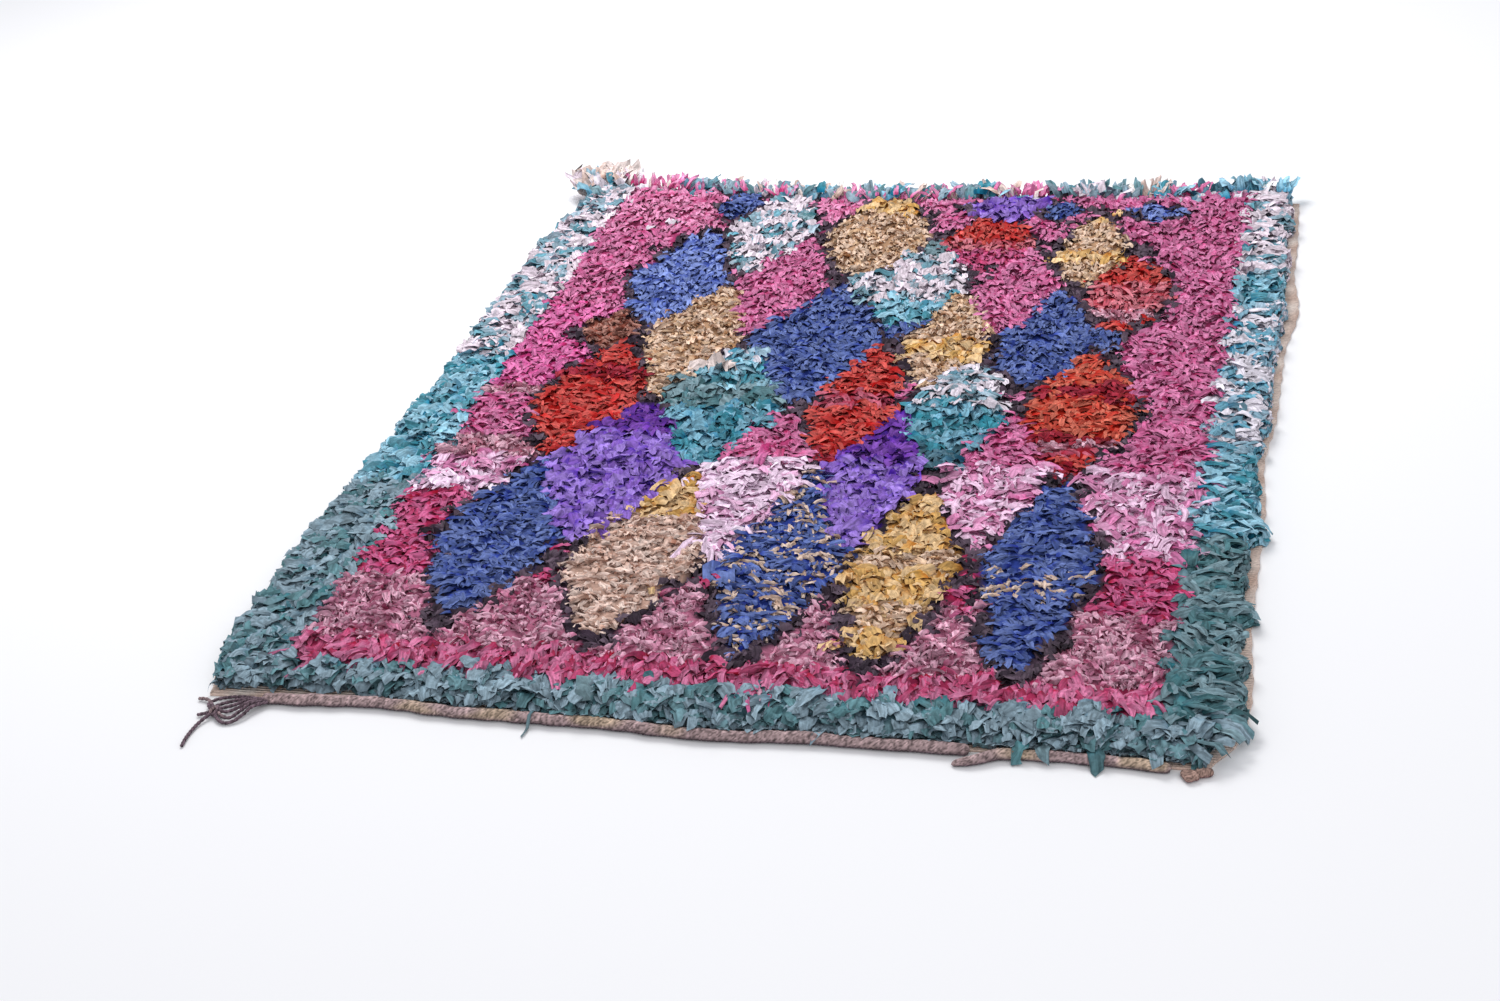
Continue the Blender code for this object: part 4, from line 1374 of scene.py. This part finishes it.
def rope_arrays(line, wide, high, sides, ply, shade):
    """Points, faces, colours and uvs of a laid rope along a line, with rounded ends."""
    stations = len(line)
    ahead = np.gradient(line, axis=0)
    ahead /= np.linalg.norm(ahead, axis=1, keepdims=True)
    across = np.cross(ahead, (0.0, 0.0, 1.0))
    across /= np.linalg.norm(across, axis=1, keepdims=True)
    upward = np.cross(across, ahead)
    along = np.concatenate([[0], np.cumsum(np.linalg.norm(np.diff(line, axis=0), axis=1))])
    angle = np.arange(sides) / sides * TURN
    phase = ply.count * (angle[None] - TURN * along[:, None] / ply.pitch)
    size = 1 + ply.depth * (np.abs(np.cos(phase / 2)) - MEAN_GROOVE)
    from_end = np.minimum(along, along[-1] - along) / wide
    cap = np.sqrt(np.clip(1 - (1 - np.clip(from_end / ROUND_END, 0, 1)) ** 2, LEAST_CAP, 1))
    size = size * cap[:, None]
    out = np.cos(angle) * size * wide[:, None] / 2
    up = np.sin(angle) * size * high[:, None] / 2
    points = line[:, None] + across[:, None] * out[..., None] + upward[:, None] * up[..., None]
    colours = shade(along[:, None] + 0 * angle, np.sin(angle) + 0 * along[:, None], phase)
    j, k = np.meshgrid(np.arange(stations - 1), np.arange(sides), indexing="ij")
    j, k = j.ravel(), k.ravel()
    here, there, beside = j * sides, (j + 1) * sides, (k + 1) % sides
    faces = np.stack([here + k, here + beside, there + beside, there + k], 1)
    low, left = j / (stations - 1), k / sides
    step, turn = 1 / (stations - 1), 1 / sides
    uvs = np.stack([
        np.stack([left, left + turn, left + turn, left], 1),
        np.stack([low, low, low + step, low + step], 1),
    ], 2)
    return points.reshape(-1, 3), faces, colours.reshape(-1, 3), uvs


def joined(ropes):
    """Several ropes' arrays as one, each in its own strip of the uv map."""
    points, faces, colours, uvs, first = [], [], [], [], 0
    for number, (rope_points, rope_faces, rope_colours, rope_uvs) in enumerate(ropes):
        points.append(rope_points)
        faces.append(rope_faces + first)
        colours.append(rope_colours)
        inset = (2 * UV_MARGIN + number, UV_MARGIN)
        uvs.append((rope_uvs * (1 - 4 * UV_MARGIN, UV_SHARE) + inset) / (len(ropes), 1))
        first += len(rope_points)
    return [np.concatenate(group) for group in (points, faces, colours, uvs)]


def blotched(along, up, blotch, seed):
    """A marl's unevenness along a cord, and more slowly round it."""
    around = up * blotch.around + blotch.start
    return blotch.high * waves(along, around, blotch.wavelength, seed + blotch.seed)


def marled(seed, marl):
    """Shades of a marled cord: a paler upper side with painted light, a darker foot with painted shade,
    patches, dark flecks, and painted shade in the grooves between plies.
    """
    chance = np.random.default_rng(seed)

    def shade(along, up, phase):
        # Painted light on the upper side and painted shade at the foot
        upper = smooth(up * LIT_UPPER_SPAN + LIT_UPPER_FROM)[..., None]
        mottle = blotched(along, up, GRAIN, seed) + blotched(along, up, CLOUDS, seed)
        patches = smooth((blotched(along, up, PATCHES, seed) + marl.patches) * PATCH_SHARPER)
        colour = linear(marl.low) + (linear(marl.top) - linear(marl.low)) * upper
        colour = colour + (linear(marl.patch) - colour) * patches[..., None] * upper * PATCH_STRENGTH
        shape = colour.shape[:2] + (1,)
        fleck = np.where(chance.random(shape) < FLECKS, FLECK_SHADE, 1.0)
        light = np.clip(1 + MOTTLE_STRENGTH * mottle[..., None], *MOTTLE_SPAN) * fleck
        colour = colour * light * chance.uniform(*MARL_POINT_SHADES, shape)
        # Painted shade in the grooves between the plies
        groove = np.abs(np.cos(phase / 2))[..., None] ** GROOVE_POWER
        return np.clip(colour * (GROOVE_PAINTED_SHADE + (1 - GROOVE_PAINTED_SHADE) * groove), 0, 1)

    return shade


def cord_line(xs, ahead, high):
    """A cord's middle line beside the front edge, or some way ahead of it."""
    beside = front_y(xs) - CORD_GAP - CORD_WIDE / 2
    return np.stack([xs, beside - ahead + rippled(xs, xs * 0, CORD_WOBBLE), high / 2 + CORD_LIFT], 1)


def end_cord_arrays():
    xs = np.arange(END_CORD_FROM, END_CORD_TO, CORD_STEP)
    lumps = CORD_THICKER + rippled(xs, xs * 0, *CORD_LUMPS)
    high = CORD_HIGH * np.clip(lumps, CORD_LEAST, CORD_MOST_HIGH)
    wide = CORD_ACROSS * np.clip(lumps, CORD_LEAST, CORD_MOST_WIDE)
    line = cord_line(xs, 0.0, high)
    return rope_arrays(line, wide, high, CORD_SIDES, CORD_PLY, marled(CORD_SEED, CORD_MARL))


def second_cord_arrays():
    loose = np.array(LOOSE_END)
    xs = np.arange(loose[0, 0], SECOND_CORD_TO, CORD_STEP)
    ahead = np.interp(xs, loose[:, 0], loose[:, 1])
    wide = np.interp(xs, loose[:, 0], loose[:, 2]) * (1 + rippled(xs, xs * 0, SECOND_LUMPS))
    line = cord_line(xs, ahead, wide)
    shade = marled(SECOND_CORD_SEED, SECOND_CORD_MARL)
    return rope_arrays(line, wide, wide, CORD_SIDES, CORD_PLY, shade)


def build_cords(material):
    cords = []
    for name, arrays, node in (
        ("marl_cord", end_cord_arrays(), "end_cord"),
        ("marl_second_cord", second_cord_arrays(), "second_cord"),
    ):
        cord = mesh_of(name, *arrays, material)
        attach(cord, "root")
        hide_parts(node)
        cords.append(cord)
    return cords


def yarn_arrays(line, seed):
    size = np.full(len(line), YARN_THICK)
    return rope_arrays(line, size, size, YARN_SIDES, YARN_PLY, marled(seed, YARN_MARL))


def coil_line(coil):
    """One coil of the knot's wound head, tilted and turned on from the one before."""
    tilt = COIL_FIRST_TILT + coil * COIL_TILT
    spin = coil * COIL_SPIN
    turn = np.linspace(0, TURN, COIL_POINTS)
    ring = np.stack([np.cos(turn), np.sin(turn) * math.cos(tilt), np.sin(turn) * math.sin(tilt)], 1)
    ring = ring @ np.array([
        [math.cos(spin), math.sin(spin), 0], [-math.sin(spin), math.cos(spin), 0], [0, 0, 1]])
    return np.array(HEAD) + ring * HEAD_COIL_SIZE


def build_knot(material):
    """The corner knot: the cord's yarns, twisted, run into a wound head with a loose tail."""
    ropes = [
        yarn_arrays(curve_through(np.array(places) / MM, YARN_STEP), YARN_SEED + number)
        for number, places in enumerate(KNOT_YARNS)
    ]
    ropes += [yarn_arrays(coil_line(coil), COIL_SEED + coil) for coil in range(HEAD_COILS)]
    knot = mesh_of("yarn_knot", *joined(ropes), material)
    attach(knot, "root")
    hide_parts("corner_knot")
    return knot


def build_stub(material):
    ropes = []
    for number, part in enumerate(STUB_PARTS):
        line = curve_through(part.places, STUB_STEP)
        wide, high = np.full(len(line), part.wide), np.full(len(line), part.high)
        shade = marled(STUB_SEED + number, STUB_MARL)
        ropes.append(rope_arrays(line, wide, high, STUB_SIDES, STUB_PLY, shade))
    stub = mesh_of("cord_stub", *joined(ropes), material)
    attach(stub, "root")
    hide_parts("corner_stub")
    return stub


def build_floor():
    bpy.ops.mesh.primitive_plane_add(size=FLOOR_SIZE)
    floor = bpy.context.object
    floor.name = "floor"
    material = bpy.data.materials.new("floor")
    material.use_nodes = True
    shader = material.node_tree.nodes["Principled BSDF"]
    for socket, value in FLOOR_LOOK.items():
        shader.inputs[socket].default_value = value
    floor.data.materials.append(material)


def build_light():
    """A pale sky, and two soft lamps that face the rug's middle."""
    scene = bpy.context.scene
    scene.world = bpy.data.worlds.new("studio")
    scene.world.use_nodes = True
    sky = scene.world.node_tree.nodes["Background"]
    sky.inputs["Color"].default_value = SKY_COLOUR
    sky.inputs["Strength"].default_value = SKY_STRENGTH
    for lamp in LAMPS:
        light = bpy.data.lights.new(lamp.name, "AREA")
        light.size = lamp.size
        light.energy = lamp.power
        obj = bpy.data.objects.new(lamp.name, light)
        scene.collection.objects.link(obj)
        obj.location = lamp.place
        obj.rotation_euler = (-obj.location).to_track_quat("-Z", "Y").to_euler()
    scene.view_settings.view_transform = "Standard"
    scene.view_settings.look = "None"


def build_camera():
    camera = bpy.data.cameras.new("camera")
    camera.sensor_fit = "HORIZONTAL"
    camera.sensor_width = SENSOR_MM
    camera.lens = LENS_MM
    obj = bpy.data.objects.new("camera", camera)
    bpy.context.scene.collection.objects.link(obj)
    obj.matrix_world = (
        Matrix.Translation(CAMERA_PLACE)
        @ Matrix.Rotation(CAMERA_YAW, 4, "Z")
        @ Matrix.Rotation(math.pi / 2 - CAMERA_PITCH_DOWN, 4, "X")
        @ Matrix.Rotation(CAMERA_ROLL, 4, "Z")
    )
    bpy.context.scene.camera = obj


build_camera()
build_light()
build_floor()
rag = cloth_material(RAG_CLOTH, folded=True)
under = cloth_material(BED_CLOTH)
thread = cloth_material(SPUN_THREAD)
weave = cloth_material(WOVEN_CLOTH, ribbed=True)
build_pile(rag)
bed = build_bed(under)
ground = build_ground(weave)
cords = build_cords(thread)
knot = build_knot(thread)
stub = build_stub(thread)
